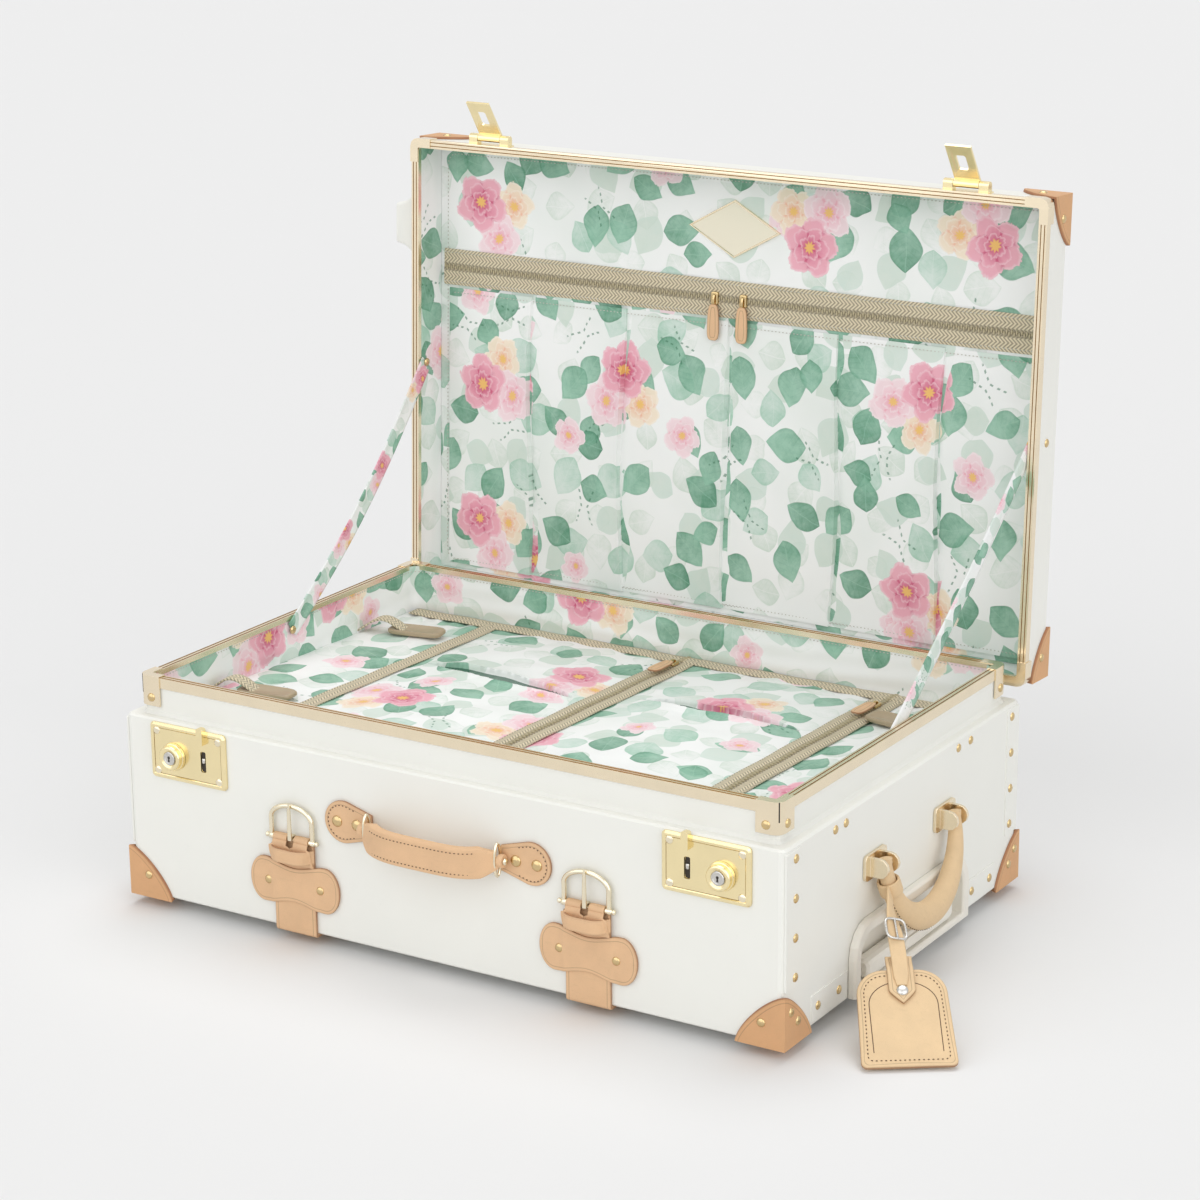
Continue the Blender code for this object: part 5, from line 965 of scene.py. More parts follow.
class SUITCASE_OT_base_lining(bpy.types.Operator):
    """Lines the deep half: wall cloth and floor cloth, and the padded divider with its zips and ties."""

    bl_idname = "suitcase.base_lining"
    bl_label = "Line the base"

    def execute(self, context):
        sizes = context.scene.suitcase_sizes
        self.tub(sizes)
        self.divider()
        self.tapes(sizes)
        self.ties()
        return {"FINISHED"}

    def tub(self, sizes):
        """Floor cloth and wall cloth of the tub, the wall in sagging folds below its seam."""
        half_x = HALF_L - TUB_WALL - 0.0003
        half_y = HALF_W - TUB_WALL - 0.0003
        piece = Piece()
        wall, cloth, around = wall_band(half_x, half_y, 0.012, 0.0265, 0.2060, 70, 0.0042, 5.0)
        piece.grid(wall, cloth=cloth)
        top, top_cloth, _ = wall_band(half_x, half_y, 0.012, 0.2060, 0.2118, 6, 0.0006, 6.0)
        piece.grid(top, cloth=top_cloth)
        x, y = np.meshgrid(np.linspace(-half_x, half_x, 60), np.linspace(-half_y, half_y, 40), indexing="ij")
        level = 0.0266 + 0.0008 + 0.0005 * crumple(x, y, 0.02, 7.0)
        piece.grid(points_of(x, y, level), cloth=points_of(x, y + 1.3))
        made = piece.make("base_lining_cloth", "base", "print", 60.0, closed=False)
        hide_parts("base_lining")
        area = around * 0.1853 + 4.0 * half_x * half_y
        area / around
        seam = Piece()
        line, _ = corner_box(half_x - 0.0008, half_y - 0.0008, 0.011, 420)
        ahead = np.gradient(line[:-1], axis=0)
        inward = points_of(-ahead[:, 1], ahead[:, 0], 0.0)
        seam.sew(points_of(line[:-1, 0], line[:-1, 1], 0.2060), inward, sizes)
        seam.make("base_lining_seam", "base", "lining_thread")

    def level(self, x, y):
        """Top of the divider: a slope, pillows between the tapes, creases and two open mouths."""
        lows = np.array([-DIVIDER_X, -0.216, 0.017, 0.247])
        highs = np.array([-0.236, -0.017, 0.213, DIVIDER_X])
        bay = np.clip(np.searchsorted((highs[:-1] + lows[1:]) / 2.0, x), 0, 3)
        share = np.clip((x - lows[bay]) / (highs[bay] - lows[bay]), 0.0, 1.0)
        crown = np.where((bay == 1) | (bay == 2), 0.0070, 0.0025)
        ends = np.clip(1.0 - np.abs(y / DIVIDER_Y) ** 4, 0.0, 1.0)
        pillow = crown * np.sin(np.pi * share) ** 0.7 * ends
        pull = 0.0013 * crumple(x, y * 1.4, 0.017, 9.0) * np.sin(np.pi * share) ** 0.5 * (0.35 + 0.65 * ends)
        rays = 0.0010 * np.sin(share * np.pi * 9.0 + np.sin(y * 40.0)) * np.abs(y / DIVIDER_Y) ** 2
        height = divider_ground(y) + 0.0004 + pillow + pull + rays
        mouth = np.zeros_like(height)
        for start, end, gape in (((-0.205, 0.054), (-0.028, 0.036), 0.0150),
                                 ((0.028, 0.066), (0.203, 0.064), 0.0125)):
            ahead = np.array(end) - np.array(start)
            length = np.linalg.norm(ahead)
            ahead = ahead / length
            along = ((x - start[0]) * ahead[0] + (y - start[1]) * ahead[1]) / length
            off = (y - start[1]) * ahead[0] - (x - start[0]) * ahead[1] + 0.006 * np.sin(np.pi * along) ** 2
            width = gape * np.clip(np.sin(np.pi * np.clip(along, 0.0, 1.0)), 0.0, 1.0) ** 0.7 + 1e-5
            inside = np.clip(1.0 - (off / width) ** 2, 0.0, 1.0) * ((along > 0.0) & (along < 1.0))
            lip = np.exp(-(np.maximum(np.abs(off) - width, 0.0) / 0.006) ** 2) * (width / gape)
            front = np.where(off < 0.0, 1.0, 0.45)
            height = height + 0.0042 * lip * front * (inside <= 0.0) - 0.0090 * np.sqrt(inside)
            mouth = np.maximum(mouth, inside)
        return height, mouth

    def divider(self):
        """Padded divider: the top as worked out by level, and an underside that closes it along its edges."""
        across = np.linspace(-DIVIDER_X, DIVIDER_X, 280)
        along = np.unique(np.concatenate([np.linspace(-0.2102, 0.2102, 104), np.linspace(0.010, 0.090, 72)]))
        x, y = np.meshgrid(across, along, indexing="ij")
        height, mouth = self.level(x, y)
        ground = divider_ground(y)
        rim = (np.abs(x) >= 0.3321) | (np.abs(y) >= 0.2101)
        meet = np.where(rim, ground - 0.0015, height)
        piece = Piece()
        cloth = points_of(x + 0.11, y + 2.2)
        # A negative inset marks the open mouths, which the print fills with painted shade
        piece.grid(points_of(x, y, meet), cloth=cloth, inset=NO_EDGE - 0.10 * np.clip(mouth, 0.0, 0.4))
        piece.grid(points_of(x, y, np.where(rim, meet, ground - 0.005))[::-1], cloth=cloth[::-1])
        made = piece.make("divider_cloth", "base", "print", 80.0)
        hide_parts("divider_panel")

    def tapes(self, sizes):
        """Woven bands over the divider, two of them with zip teeth, and a bound back edge."""
        teeth = Piece()
        along = np.linspace(-0.2085, 0.2085, 150)
        height = divider_ground(along) + 0.0023 + 0.0003 * np.sin(along * 70.0)
        for name, centre, width, toothed in (("left", -0.226, 0.018, False), ("middle", 0.0, 0.032, True),
                                             ("right", 0.230, 0.032, True)):
            points, cloth = tape_grid(centre, along, height, width, 9)
            piece = Piece()
            piece.grid(points, cloth=cloth, inset=np.abs(cloth[..., 1]) if toothed else None)
            tape = piece.make("divider_tape_" + name, "base", "tape", thickness=0.0008, closed=False)
            if toothed:
                zip_teeth(teeth, points_of(centre, along, height + 0.0002), (0.0, 0.024, 1.0), sizes)
        teeth.make("divider_zip_teeth", "base", "teeth")
        across = np.linspace(-0.325, 0.325, 160)
        piece = Piece()
        points, cloth = tape_grid(across, 0.1990, 0.1662 + 0.0003 * np.sin(across * 90.0), 0.019)
        piece.grid(points, cloth=cloth)
        band = piece.make("divider_tape_back", "base", "tape", thickness=0.0008, closed=False)

    def ties(self):
        """Ties: a strap arches from the wall into a long clip, a rounded tongue with a raised rim."""
        for name, side, start, end in (("left_back", -1.0, 0.115, 0.133),
                                       ("left_front", -1.0, -0.124, -0.114),
                                       ("right_back", 1.0, 0.116, 0.128)):
            share = np.linspace(0.0, 1.0, 40)
            x = side * (0.3318 - 0.052 * share)
            y = start + (end - start) * 0.55 * share
            height = divider_ground(y) + 0.0040 + 0.0125 * np.sin(np.pi * share) ** 1.2 + 0.0030 * share
            points, cloth = tape_grid(x, y, height, 0.016, 9)
            piece = Piece()
            piece.grid(points, cloth=cloth)
            strap = piece.make("divider_tie_" + name, "base", "tape", thickness=0.0014, closed=False)
            cosine, sine = rounded(64, 4.5)
            profile = ((0.0, 0.0), (0.94, 0.0), (1.0, 0.0012), (1.0, 0.0038), (0.95, 0.0050), (0.84, 0.0048),
                       (0.78, 0.0040), (0.0, 0.0040))
            ahead = unit(np.array([-side * 0.088, end - start]))
            middle = np.array([side * 0.2715, start + (end - start) * 0.75])
            rings = [points_of(middle[0] + scale * (0.029 * cosine * ahead[0] - 0.0125 * sine * ahead[1]),
                               middle[1] + scale * (0.029 * cosine * ahead[1] + 0.0125 * sine * ahead[0]),
                               divider_ground(middle[1]) + 0.0046 + rise)
                     for scale, rise in profile]
            skin(np.stack(rings)).make("divider_clip_" + name, "base", "clip", 60.0)


class SUITCASE_OT_stays(bpy.types.Operator):
    """Hangs the two cloth stays between the tub's rim and the lid's wall."""

    bl_idname = "suitcase.stays"
    bl_label = "Hang the stays"

    def execute(self, context):
        for side, name in ((-1.0, "left"), (1.0, "right")):
            start = np.array([side * 0.3298, 0.0, 0.199])
            end = opened(np.array([side * 0.3424, 0.0, 0.1906]))
            share = np.linspace(0.0, 1.0, 60)[:, None]
            line = start + (end - start) * share
            line[:, 2] -= 0.012 * np.sin(np.pi * share[:, 0])
            line[:, 0] -= side * 0.003 * np.sin(np.pi * share[:, 0])
            ahead = unit(np.gradient(line, axis=0))
            out = np.array([side, 0.0, 0.0])
            width = unit(np.cross(ahead, out))
            step = np.linspace(-1.0, 1.0, 9)
            curl = 0.0008 * (1.0 - step ** 2)
            points = line[:, None] + width[:, None] * (step * 0.009)[None, :, None]
            points = points + out * curl[None, :, None]
            length = float(np.linalg.norm(np.diff(line, axis=0), axis=1).sum())
            piece = Piece()
            piece.grid(points, cloth=points_of(share * length + 3.0, step * 0.009 + side))
            made = piece.make("lid_stay_cloth_" + name, None, "stay_print", thickness=0.0014, closed=False)
            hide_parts("lid_stay_" + name)
            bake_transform(made)
        return {"FINISHED"}


def front_place(x, z, out):
    """A point on the front face of the case, out from the board."""
    return points_of(x, -HALF_W - out, z)


def corner_piece(sign_x, sign_y, level, away, leg, drop):
    """Leather corner: on each of its three faces rays run from the tip to a rounded edge.

    The edge of a face is a superellipse between two case edges; rings step from the tip outwards,
    over the cut edge and back to the tip underneath."""
    piece = Piece()
    outer = CLEAR + LEATHER
    soft = 0.0007
    rings = [(outer, share, 0.0056) for share in (0.0, 0.3, 0.6, 0.85, 1.0)]
    rings += [(outer, 1.0, inset) for inset in (0.0039, 0.0034, 0.0029, 0.0017, soft)]
    rings += [(outer - 0.3 * soft, 1.0, 0.3 * soft), (outer - soft, 1.0, 0.0), (CLEAR, 1.0, 0.0),
              (CLEAR, 0.0, 0.0)]
    turn = np.linspace(0.0, 0.5 * np.pi, 25)
    for face in range(3):
        rows = []
        insets = []
        for rise, share, inset in rings:
            reach = np.array([leg, leg, drop]) + rise
            edge = np.full((len(turn), 3), -rise)
            edge[:, face] += reach[face] * np.cos(turn) ** 1.48
            edge[:, (face + 1) % 3] += reach[(face + 1) % 3] * np.maximum(np.sin(turn), 0.0) ** 1.48
            run = np.linalg.norm(edge + rise, axis=1)
            scale = share * (run - inset) / run
            rows.append(-rise + (edge + rise) * scale[:, None])
            insets.append(run * (1.0 - scale))
        spans = np.stack(rows)
        points = points_of(sign_x * (HALF_L - spans[..., 0]), sign_y * (HALF_W - spans[..., 1]),
                           level - away * spans[..., 2])
        piece.grid(opened(points) if away > 0 else points, inset=np.stack(insets))
    return piece


class SUITCASE_OT_corners(bpy.types.Operator):
    """Cuts the eight leather corners."""

    bl_idname = "suitcase.corners"
    bl_label = "Cut the leather corners"

    def execute(self, context):
        for half, level, away, drop, body in (("base", 0.0, -1.0, 0.046, "base"),
                                              ("lid", LID_TOP, 1.0, 0.033, "lid")):
            for sign_y, depth in ((-1.0, "front"), (1.0, "back")):
                for sign_x, side in ((-1.0, "left"), (1.0, "right")):
                    name = half + "_corner_" + depth + "_" + side
                    piece = corner_piece(sign_x, sign_y, level, away, 0.046, drop)
                    made = piece.make(name.replace("corner", "leather"), body, "corner_tan", 65.0)
                    round_edges(made, "Fold", 0.0012, 70.0)
                    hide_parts(name)
        return {"FINISHED"}


def keeper_outline(count):
    """Outline of the bow-tie keeper: a cosine waist that widens to round ends."""
    turn = circle(count)
    waist_end = 0.034
    x = 0.050 * np.cos(turn)
    away = np.abs(x)
    waist = 0.0165 + 0.0055 * (1.0 - np.cos(np.pi * np.minimum(away, waist_end) / waist_end)) / 2.0
    ends = 0.022 * np.sqrt(np.clip(1.0 - (np.maximum(away - waist_end, 0.0) / 0.016) ** 2, 0.0, 1.0))
    z = np.sign(np.sin(turn)) * np.where(away < waist_end, waist, ends)
    return points_of(x, z), points_of(np.clip(x, -0.040, 0.040), 0.0)


class SUITCASE_OT_straps(bpy.types.Operator):
    """Cuts the two front straps, each with its bow-tie keeper, belt loop and folded end."""

    bl_idname = "suitcase.straps"
    bl_label = "Cut the straps"

    def execute(self, context):
        for centre, name in ((-STRAP_X, "left"), (STRAP_X, "right")):
            strap = self.strap(centre).make("front_strap_leather_" + name, "base", "tan", 55.0)
            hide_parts("front_strap_" + name)
            self.keeper(centre).make("front_keeper_" + name, "base", "tan", 55.0)
            self.loop(centre).make("front_loop_" + name, "base", "tan", 55.0)
            self.fold(centre).make("front_strap_fold_" + name, "base", "tan", 55.0)
        return {"FINISHED"}

    def strap(self, centre):
        """A long plate bent round the bottom edge: distance along it becomes height, a turn, then depth."""
        run = np.linspace(0.0, 0.142, 90)
        half = 0.023
        outline = np.concatenate([points_of(half, run), points_of(-half, run)[::-1]])
        spine = points_of(0.0, np.clip(outline[:, 1], 0.02, 0.122))
        flat, height, inset = plate(outline, spine, 0.0030, 0.0008)
        along = flat[..., 1]
        straight = 0.0874
        bend = 0.005
        turn = np.clip((along - straight) / bend, 0.0, 1.0) * 0.5 * np.pi
        out = height + CLEAR
        y = -HALF_W - out * np.cos(turn) + np.maximum(along - straight - bend, 0.0)
        z = np.where(along < straight, straight - along, -out * np.sin(turn))
        return skin(points_of(centre + flat[..., 0], y, z), inset)

    def keeper(self, centre):
        """The bow-tie plate, lifted where it crosses the strap and pressed down on both sides of it."""
        outline, spine = keeper_outline(140)
        flat, height, inset = plate(outline, spine, 0.0030, 0.0008)
        fall = np.clip((np.abs(flat[..., 0]) - 0.0233) / 0.006, 0.0, 1.0)
        rise = CLEAR + 0.0015 * (1.0 - fall ** 2 * (3.0 - 2.0 * fall))
        return skin(front_place(centre + flat[..., 0], 0.045 + flat[..., 1], rise + height), inset)

    def loop(self, centre):
        """Belt loop: a flat band that arches over the folded strap end with steep shoulders."""
        half = 0.0066
        thick = 0.0015
        share = np.sin(np.linspace(-0.5, 0.5, 41) * np.pi)
        line = front_place(centre + 0.0227 * share, 0.0765, 0.0018 + 0.0120 * (1.0 - share ** 4) + thick)
        cosine, sine = rounded(24, 6.0)
        points = swept(line, FRONT, half * cosine, thick * sine)
        edge = (half - half * np.abs(cosine)) * (sine < 0.9) + 0.004 * (sine >= 0.9)
        return skin(points, np.broadcast_to(edge, points.shape[:2]))

    def fold(self, centre):
        """Strap end: two lobes that come up out of the loop, turn over the buckle's bar and go down."""
        piece = Piece()
        bar = np.array([-HALF_W - BAR_OUT, BAR_LEVEL])
        reach = 0.0034
        turn = np.linspace(-0.15 * np.pi, 1.12 * np.pi, 22)
        wrap = points_of(bar[0] - reach * np.cos(turn), bar[1] + reach * np.sin(turn))
        rise = np.linspace(0.0, 1.0, 12)[:, None]
        foot = np.array([-0.2326, 0.066])
        middle = np.array([-0.2398, 0.082])
        lead = foot * (1 - rise) ** 2 + middle * 2 * rise * (1 - rise) + wrap[0] * rise ** 2
        path = np.concatenate([lead[:-1], wrap])
        width = np.where(path[:, 1:] > 0.0835, 0.0078, 0.0117)
        for side in (-1.0, 1.0):
            line = points_of(centre + side * 0.0117, path[:, 0], path[:, 1])
            piece.tube(line, (0.0, -1.0, 0.3), width, 0.0008, 20, 5.0)
        return piece


def tab_outline(count):
    """Outline of a handle tab from its inner edge: straight flanks that touch a round outer end."""
    far = 0.032
    radius = 0.020
    inner = 0.01176
    turn = circle(count)
    tangent = math.asin(radius / math.hypot(far, inner)) - math.atan2(inner, far)
    u = 0.026 - 0.026 * np.cos(turn)
    flank = inner + u * math.tan(tangent)
    end = np.sqrt(np.clip(radius ** 2 - (u - far) ** 2, 0.0, None))
    half = np.where(u < far - radius * math.sin(tangent), flank, end)
    half = half * np.clip(np.abs(np.sin(turn)) * 9.0, 0.0, 1.0) ** 0.5
    v = np.sign(np.sin(turn)) * half
    return points_of(u, v), points_of(np.clip(u, 0.012, 0.036), 0.0)


class SUITCASE_OT_front_handle(bpy.types.Operator):
    """Makes the front handle: stitched tabs with rings, and the bowed grip with its two seams."""

    bl_idname = "suitcase.front_handle"
    bl_label = "Make the front handle"

    def execute(self, context):
        sizes = context.scene.suitcase_sizes
        thread = Piece()
        for side, name in ((-1.0, "left"), (1.0, "right")):
            inner_end = 0.069
            outline, spine = tab_outline(120)
            flat, height, inset = plate(outline, spine, 0.0030, 0.0008)
            piece = skin(front_place(side * (inner_end + flat[..., 0]), HANDLE_LEVEL + flat[..., 1],
                                     CLEAR + height), inset)
            line = front_place(side * np.linspace(0.0716, 0.0770, 6), HANDLE_LEVEL, HANDLE_OUT)
            sleeve = np.array([0.0056, 0.0062, 0.0062, 0.0062, 0.0062, 0.0056])[:, None]
            piece.tube(line, (0.0, 0.0, 1.0), sleeve, sleeve, 28)
            made = piece.make("front_handle_tab_leather_" + name, "base", "tan", 55.0)
            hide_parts("front_handle_tab_" + name)
            self.ring(side).make("front_handle_ring_" + name, "base", "buckle_gold", 60.0)
            inner = outline + (spine - outline) * (0.0042 / np.linalg.norm(spine - outline, axis=1))[:, None]
            kept = inner[inner[:, 0] > 0.0175]
            kept = kept[np.argsort(np.arctan2(kept[:, 1], kept[:, 0] - 0.030))]
            seam = front_place(side * (inner_end + kept[:, 0]), HANDLE_LEVEL + kept[:, 1], 0.0033)
            thread.sew(seam, FRONT, sizes)
        thread.make("front_handle_tab_stitches", "base", "thread")
        rivets = Piece()
        places = front_place(np.array([-0.1070, -0.0852, 0.0852, 0.1070]), HANDLE_LEVEL, 0.0033)
        rivets.copies(stud(1.3 * sizes.rivet, 1.4 * sizes.rivet_rise, 18), places,
                      frames_on(np.repeat([FRONT], 4, 0)))
        rivets.make("front_handle_tab_rivets", "base", "stud_gold")
        self.grip(sizes)
        return {"FINISHED"}

    def ring(self, side):
        """An upright oval wire ring between tab and grip, and the pin through the sleeve."""
        turn = circle(40)
        line = front_place(side * 0.0700, HANDLE_LEVEL + 0.0150 * np.sin(turn),
                           0.0096 + 0.0046 * np.cos(turn))
        piece = Piece()
        piece.tube(line, (1.0, 0.0, 0.0), 0.0014, 0.0014, 14, loop=True)
        profile = [(0.0, 0.0), (0.0022, 0.0), (0.0022, 0.0135), (0.0032, 0.0138), (0.0032, 0.0148),
                   (0.0022, 0.0158), (0.0, 0.0162)]
        pin = turned(profile, front_place(side * 0.0640, HANDLE_LEVEL, HANDLE_OUT), (side, 0.0, 0.0), 20)
        piece.grid(pin, wrap_columns=True)
        return piece

    def grip(self, sizes):
        """Bowed grip: a rounded flat section, full width nearly up to its square ends."""
        reach = 0.0683
        power = 4.2
        sag = 0.0028
        bulge = 0.0186
        thick = 0.0050
        x = np.sin(np.linspace(-0.5, 0.5, 61) * np.pi) * reach
        share = np.abs(x) / reach
        bow = 1.0 - share ** power
        half = np.minimum(0.0140, 0.0080 + 0.038 * (1.0 - share))
        line = front_place(x, HANDLE_LEVEL - sag * bow, HANDLE_OUT + bulge * bow)
        piece = Piece()
        piece.tube(line, FRONT, half[:, None], thick, 40, 7.0)
        made = piece.make("front_handle_grip_leather", "front_handle", "tan", 50.0)
        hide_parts("front_handle_grip")
        thread = Piece()
        run = np.linspace(-0.056, 0.056, 90)
        near = np.abs(run) / reach
        curve = 1.0 - near ** power
        slope = -power * near ** (power - 1.0) * np.sign(run) / reach * bulge
        normal = unit(points_of(-slope, -1.0, 0.0))
        for row in (-0.0098, 0.0098):
            face = front_place(run, HANDLE_LEVEL - sag * curve + row, HANDLE_OUT + bulge * curve + thick)
            thread.sew(face, normal, sizes)
        thread.make("front_handle_grip_stitches", "front_handle", "thread")


def side_grip_line(turn):
    """Middle line of the side grip and its direction: a hanging half oval that bows outwards."""
    line = points_of(0.362 + 0.010 * np.sin(turn), -0.068 * np.cos(turn), 0.113 - 0.066 * np.sin(turn))
    ahead = points_of(0.010 * np.cos(turn), 0.068 * np.sin(turn), -0.066 * np.cos(turn))
    return line, unit(ahead)


class SUITCASE_OT_side_handle(bpy.types.Operator):
    """Makes the fat side grip with the seam along its outer edge."""

    bl_idname = "suitcase.side_handle"
    bl_label = "Make the side handle"

    def section(self, turn, angle):
        """Point on the grip at a place along it and round it, and the outward normal there."""
        line, ahead = side_grip_line(turn)
        across = unit(np.cross(ahead, [1.0, 0.0, 0.0]))
        outward = unit(np.cross(across, ahead))
        swell = np.maximum(np.sin(turn), 0.0) ** 1.2
        deep = (0.006 + 0.007 * swell)[..., None]
        thick = (0.006 + 0.005 * swell)[..., None]
        cosine = np.cos(angle)[..., None]
        sine = np.sin(angle)[..., None]
        point = line + across * deep * cosine + outward * thick * sine
        return point, unit(across * cosine / deep + outward * sine / thick)

    def execute(self, context):
        sizes = context.scene.suitcase_sizes
        share = np.linspace(0.0, 1.0, 64)
        turn = np.pi * (share - 0.06 * np.sin(2.0 * np.pi * share))
        sides = 32
        around = circle(sides)
        grid_turn, grid_angle = np.meshgrid(turn, around, indexing="ij")
        points, _ = self.section(grid_turn, grid_angle)
        lift = np.array([0.0, 0.0, 0.0063])
        start = points[:1] + lift
        end = points[-1:] + lift
        close = [np.repeat(ring.mean(1, keepdims=True), sides, 1) for ring in (start, end)]
        piece = skin(np.concatenate([close[0], start, points, end, close[1]]))
        made = piece.make("side_handle_grip_leather", "side_handle", "pale_tan", 50.0)
        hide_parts("side_handle_grip")
        thread = Piece()
        run = np.linspace(0.07 * np.pi, 0.93 * np.pi, 120)
        line, normal = self.section(run, np.full_like(run, 0.12 * np.pi))
        thread.sew(line, normal, sizes)
        thread.make("side_handle_stitches", "side_handle", "thread")
        return {"FINISHED"}


def tag_frame():
    """Where the tag hangs and its directions: across it, down it and out of its face, with its length."""
    line, ahead = side_grip_line(np.array([math.radians(18.0)]))
    hang = line[0]
    foot = np.array([hang[0] + 0.086, hang[1] - 0.126, -0.009])
    length = np.linalg.norm(foot - hang)
    down = (foot - hang) / length
    across = np.array([0.126, 0.086, 0.0])
    across = unit(across - down * (across @ down))
    face = np.cross(across, down)
    face = face if face[2] > 0 else -face
    return hang, ahead[0], across, down, face, length


class SUITCASE_OT_tag(bpy.types.Operator):
    """Makes the luggage tag: stitched leather, pointed flap, strap round the grip and a small buckle."""

    bl_idname = "suitcase.tag"
    bl_label = "Make the luggage tag"

    def execute(self, context):
        sizes = context.scene.suitcase_sizes
        self.hang, self.tangent, self.across, self.down, self.face, self.length = tag_frame()
        self.start = self.length - 0.096
        outline = self.outline(0.0)
        spine = points_of(0.0, np.clip(outline[:, 1], self.start + 0.036, self.length - 0.036))
        flat, height, inset = plate(outline, spine, 0.0040, 0.0009)
        piece = skin(self.place(flat[..., 0], flat[..., 1], height - 0.0020), inset)
        made = piece.make("luggage_tag_leather", "luggage_tag", "pale_tan", 55.0)
        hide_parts("luggage_tag")
        thread = Piece()
        inner = self.outline(0.0062)
        inner = np.concatenate([inner, inner[:1]])
        thread.sew(self.place(inner[:, 0], inner[:, 1], 0.0021), self.face, sizes)
        thread.make("luggage_tag_stitches", "luggage_tag", "thread")
        self.arch().make("luggage_tag_crease", "luggage_tag", "thread", 60.0)
        self.flap().make("luggage_tag_flap", "luggage_tag", "pale_tan", 55.0)
        self.strap().make("luggage_tag_strap", "luggage_tag", "pale_tan", 55.0)
        self.buckle().make("luggage_tag_buckle", "luggage_tag", "steel", 60.0)
        dome = [(0.0, -0.0005), (0.0050, -0.0005), (0.0051, 0.0006), (0.0043, 0.0017), (0.0030, 0.0023),
                (0.0, 0.0026)]
        middle = self.place(0.0, self.start + 0.0225, 0.0046)
        skin(turned(dome, middle, self.face, 24)).make("luggage_tag_snap", "luggage_tag", "steel")
        return {"FINISHED"}

    def place(self, u, v, w):
        """A point u across the tag, v down from where it hangs and w in front of its middle plane."""
        u, v, w = np.broadcast_arrays(u, v, w)
        return self.hang + self.across * u[..., None] + self.down * v[..., None] + self.face * w[..., None]

    def outline(self, inset):
        """Round shoulders on slightly narrower flanks, and small round corners at the foot."""
        half = 0.041 - inset
        shoulder = 0.0246 - inset
        toe = 0.005
        turn = np.linspace(0.0, 0.5 * np.pi, 14)
        top = self.start + inset
        foot = self.length - inset
        right_top = points_of(half * 0.95 - shoulder + shoulder * np.cos(turn),
                              top + shoulder * (1.0 - np.sin(turn)))
        right_foot = points_of(half - toe + toe * np.sin(turn), foot - toe + toe * np.cos(turn))
        right = np.concatenate([right_foot[:-1], [[half, foot - toe]],
                                points_of(np.linspace(half, half * 0.95, 16)[1:-1],
                                          np.linspace(foot - toe, top + shoulder, 16)[1:-1]), right_top])
        middle = np.linspace(right_top[-1, 0], -right_top[-1, 0], 12)[1:-1]
        left = right[::-1] * [-1.0, 1.0]
        bottom = np.linspace(-(half - toe), half - toe, 22)[1:-1]
        return np.concatenate([right, points_of(middle, top), left, points_of(bottom, foot)])

    def arch(self):
        """Pressed arch inside the seam: up one side, over in a half circle and down the other."""
        rise = np.linspace(0.0, 1.0, 12)
        turn = np.linspace(0.0, np.pi, 24)
        half = 0.0295
        low = self.length - 0.014
        spring = self.start + 0.012 + half * 0.78
        right = points_of(half, low + (spring - low) * rise)
        over = points_of(half * np.cos(turn), spring - 0.78 * half * np.sin(turn))
        left = right[::-1] * [-1.0, 1.0]
        line = np.concatenate([right[:-1], over, left[1:]])
        piece = Piece()
        piece.tube(self.place(line[:, 0], line[:, 1], 0.0020), self.face, 0.0004, 0.00022, 6)
        return piece

    def flap(self):
        """Neck flap of the tag: parallel sides, a pointed lower end and a rounded top."""
        rise = np.linspace(0.0, 1.0, 14)
        half = 0.0115
        top = self.start - 0.014
        shoulder = self.start + 0.022
        tip = self.start + 0.035
        point = points_of(half * (1.0 - rise ** 1.25), shoulder + (tip - shoulder) * rise)
        flank = points_of(half, top + (shoulder - top) * rise)
        right = np.concatenate([flank[:-1], point])
        left = right[::-1][1:] * [-1.0, 1.0]
        outline = np.concatenate([right, left])
        spine = points_of(0.0, np.clip(outline[:, 1], top + 0.008, tip - 0.012))
        flat, height, inset = plate(outline, spine, 0.0026, 0.0007)
        lift = 0.0021 - 0.0034 * np.clip((self.start + 0.001 - flat[..., 1]) / 0.010, 0.0, 1.0)
        return skin(self.place(flat[..., 0], flat[..., 1], lift + height), inset)

    def strap(self):
        """Strap: a turn round the grip, then a bend whose width turns until it lies across the tag."""
        leaving = unit(self.down - self.tangent * (self.down @ self.tangent))
        sideways = np.cross(self.tangent, leaving)
        turn = np.linspace(0.0, 2.0 * np.pi, 49)[:, None]
        reach = 0.0093
        loop = self.hang + reach * (leaving * np.cos(turn) + sideways * np.sin(turn))
        seam = self.place(0.0, self.start, 0.0056)
        first = self.hang + leaving * reach
        pull = np.linalg.norm(seam - first) * 0.45
        share = np.linspace(0.0, 1.0, 40)[:, None]
        rest = 1.0 - share
        second = first + leaving * pull
        third = seam - self.down * pull
        bend = first * rest ** 3 + second * 3 * rest ** 2 * share
        bend = bend + third * 3 * rest * share ** 2 + seam * share ** 3
        tail = self.place(0.0, self.start + np.linspace(0.002, 0.018, 6), np.linspace(0.0056, 0.0052, 6))
        start_wide = self.tangent if self.tangent @ self.across > 0 else -self.tangent
        mix = share ** 2 * (3.0 - 2.0 * share)
        wide = np.concatenate([start_wide * (1.0 - mix) + self.across * mix,
                               np.repeat(self.across[None], 6, 0)])
        line = np.concatenate([bend, tail])
        width = np.interp(np.arange(len(line)), [0, 30, 42, 45], [0.0076, 0.0070, 0.0066, 0.0045])[:, None]
        ahead = unit(np.gradient(line, axis=0))
        wide = unit(wide - ahead * (wide * ahead).sum(1, keepdims=True))
        piece = Piece()
        piece.tube(line, np.cross(wide, ahead), width, 0.0013, 20, 5.0)
        onward = unit(np.roll(loop[:-1], -1, 0) - np.roll(loop[:-1], 1, 0))
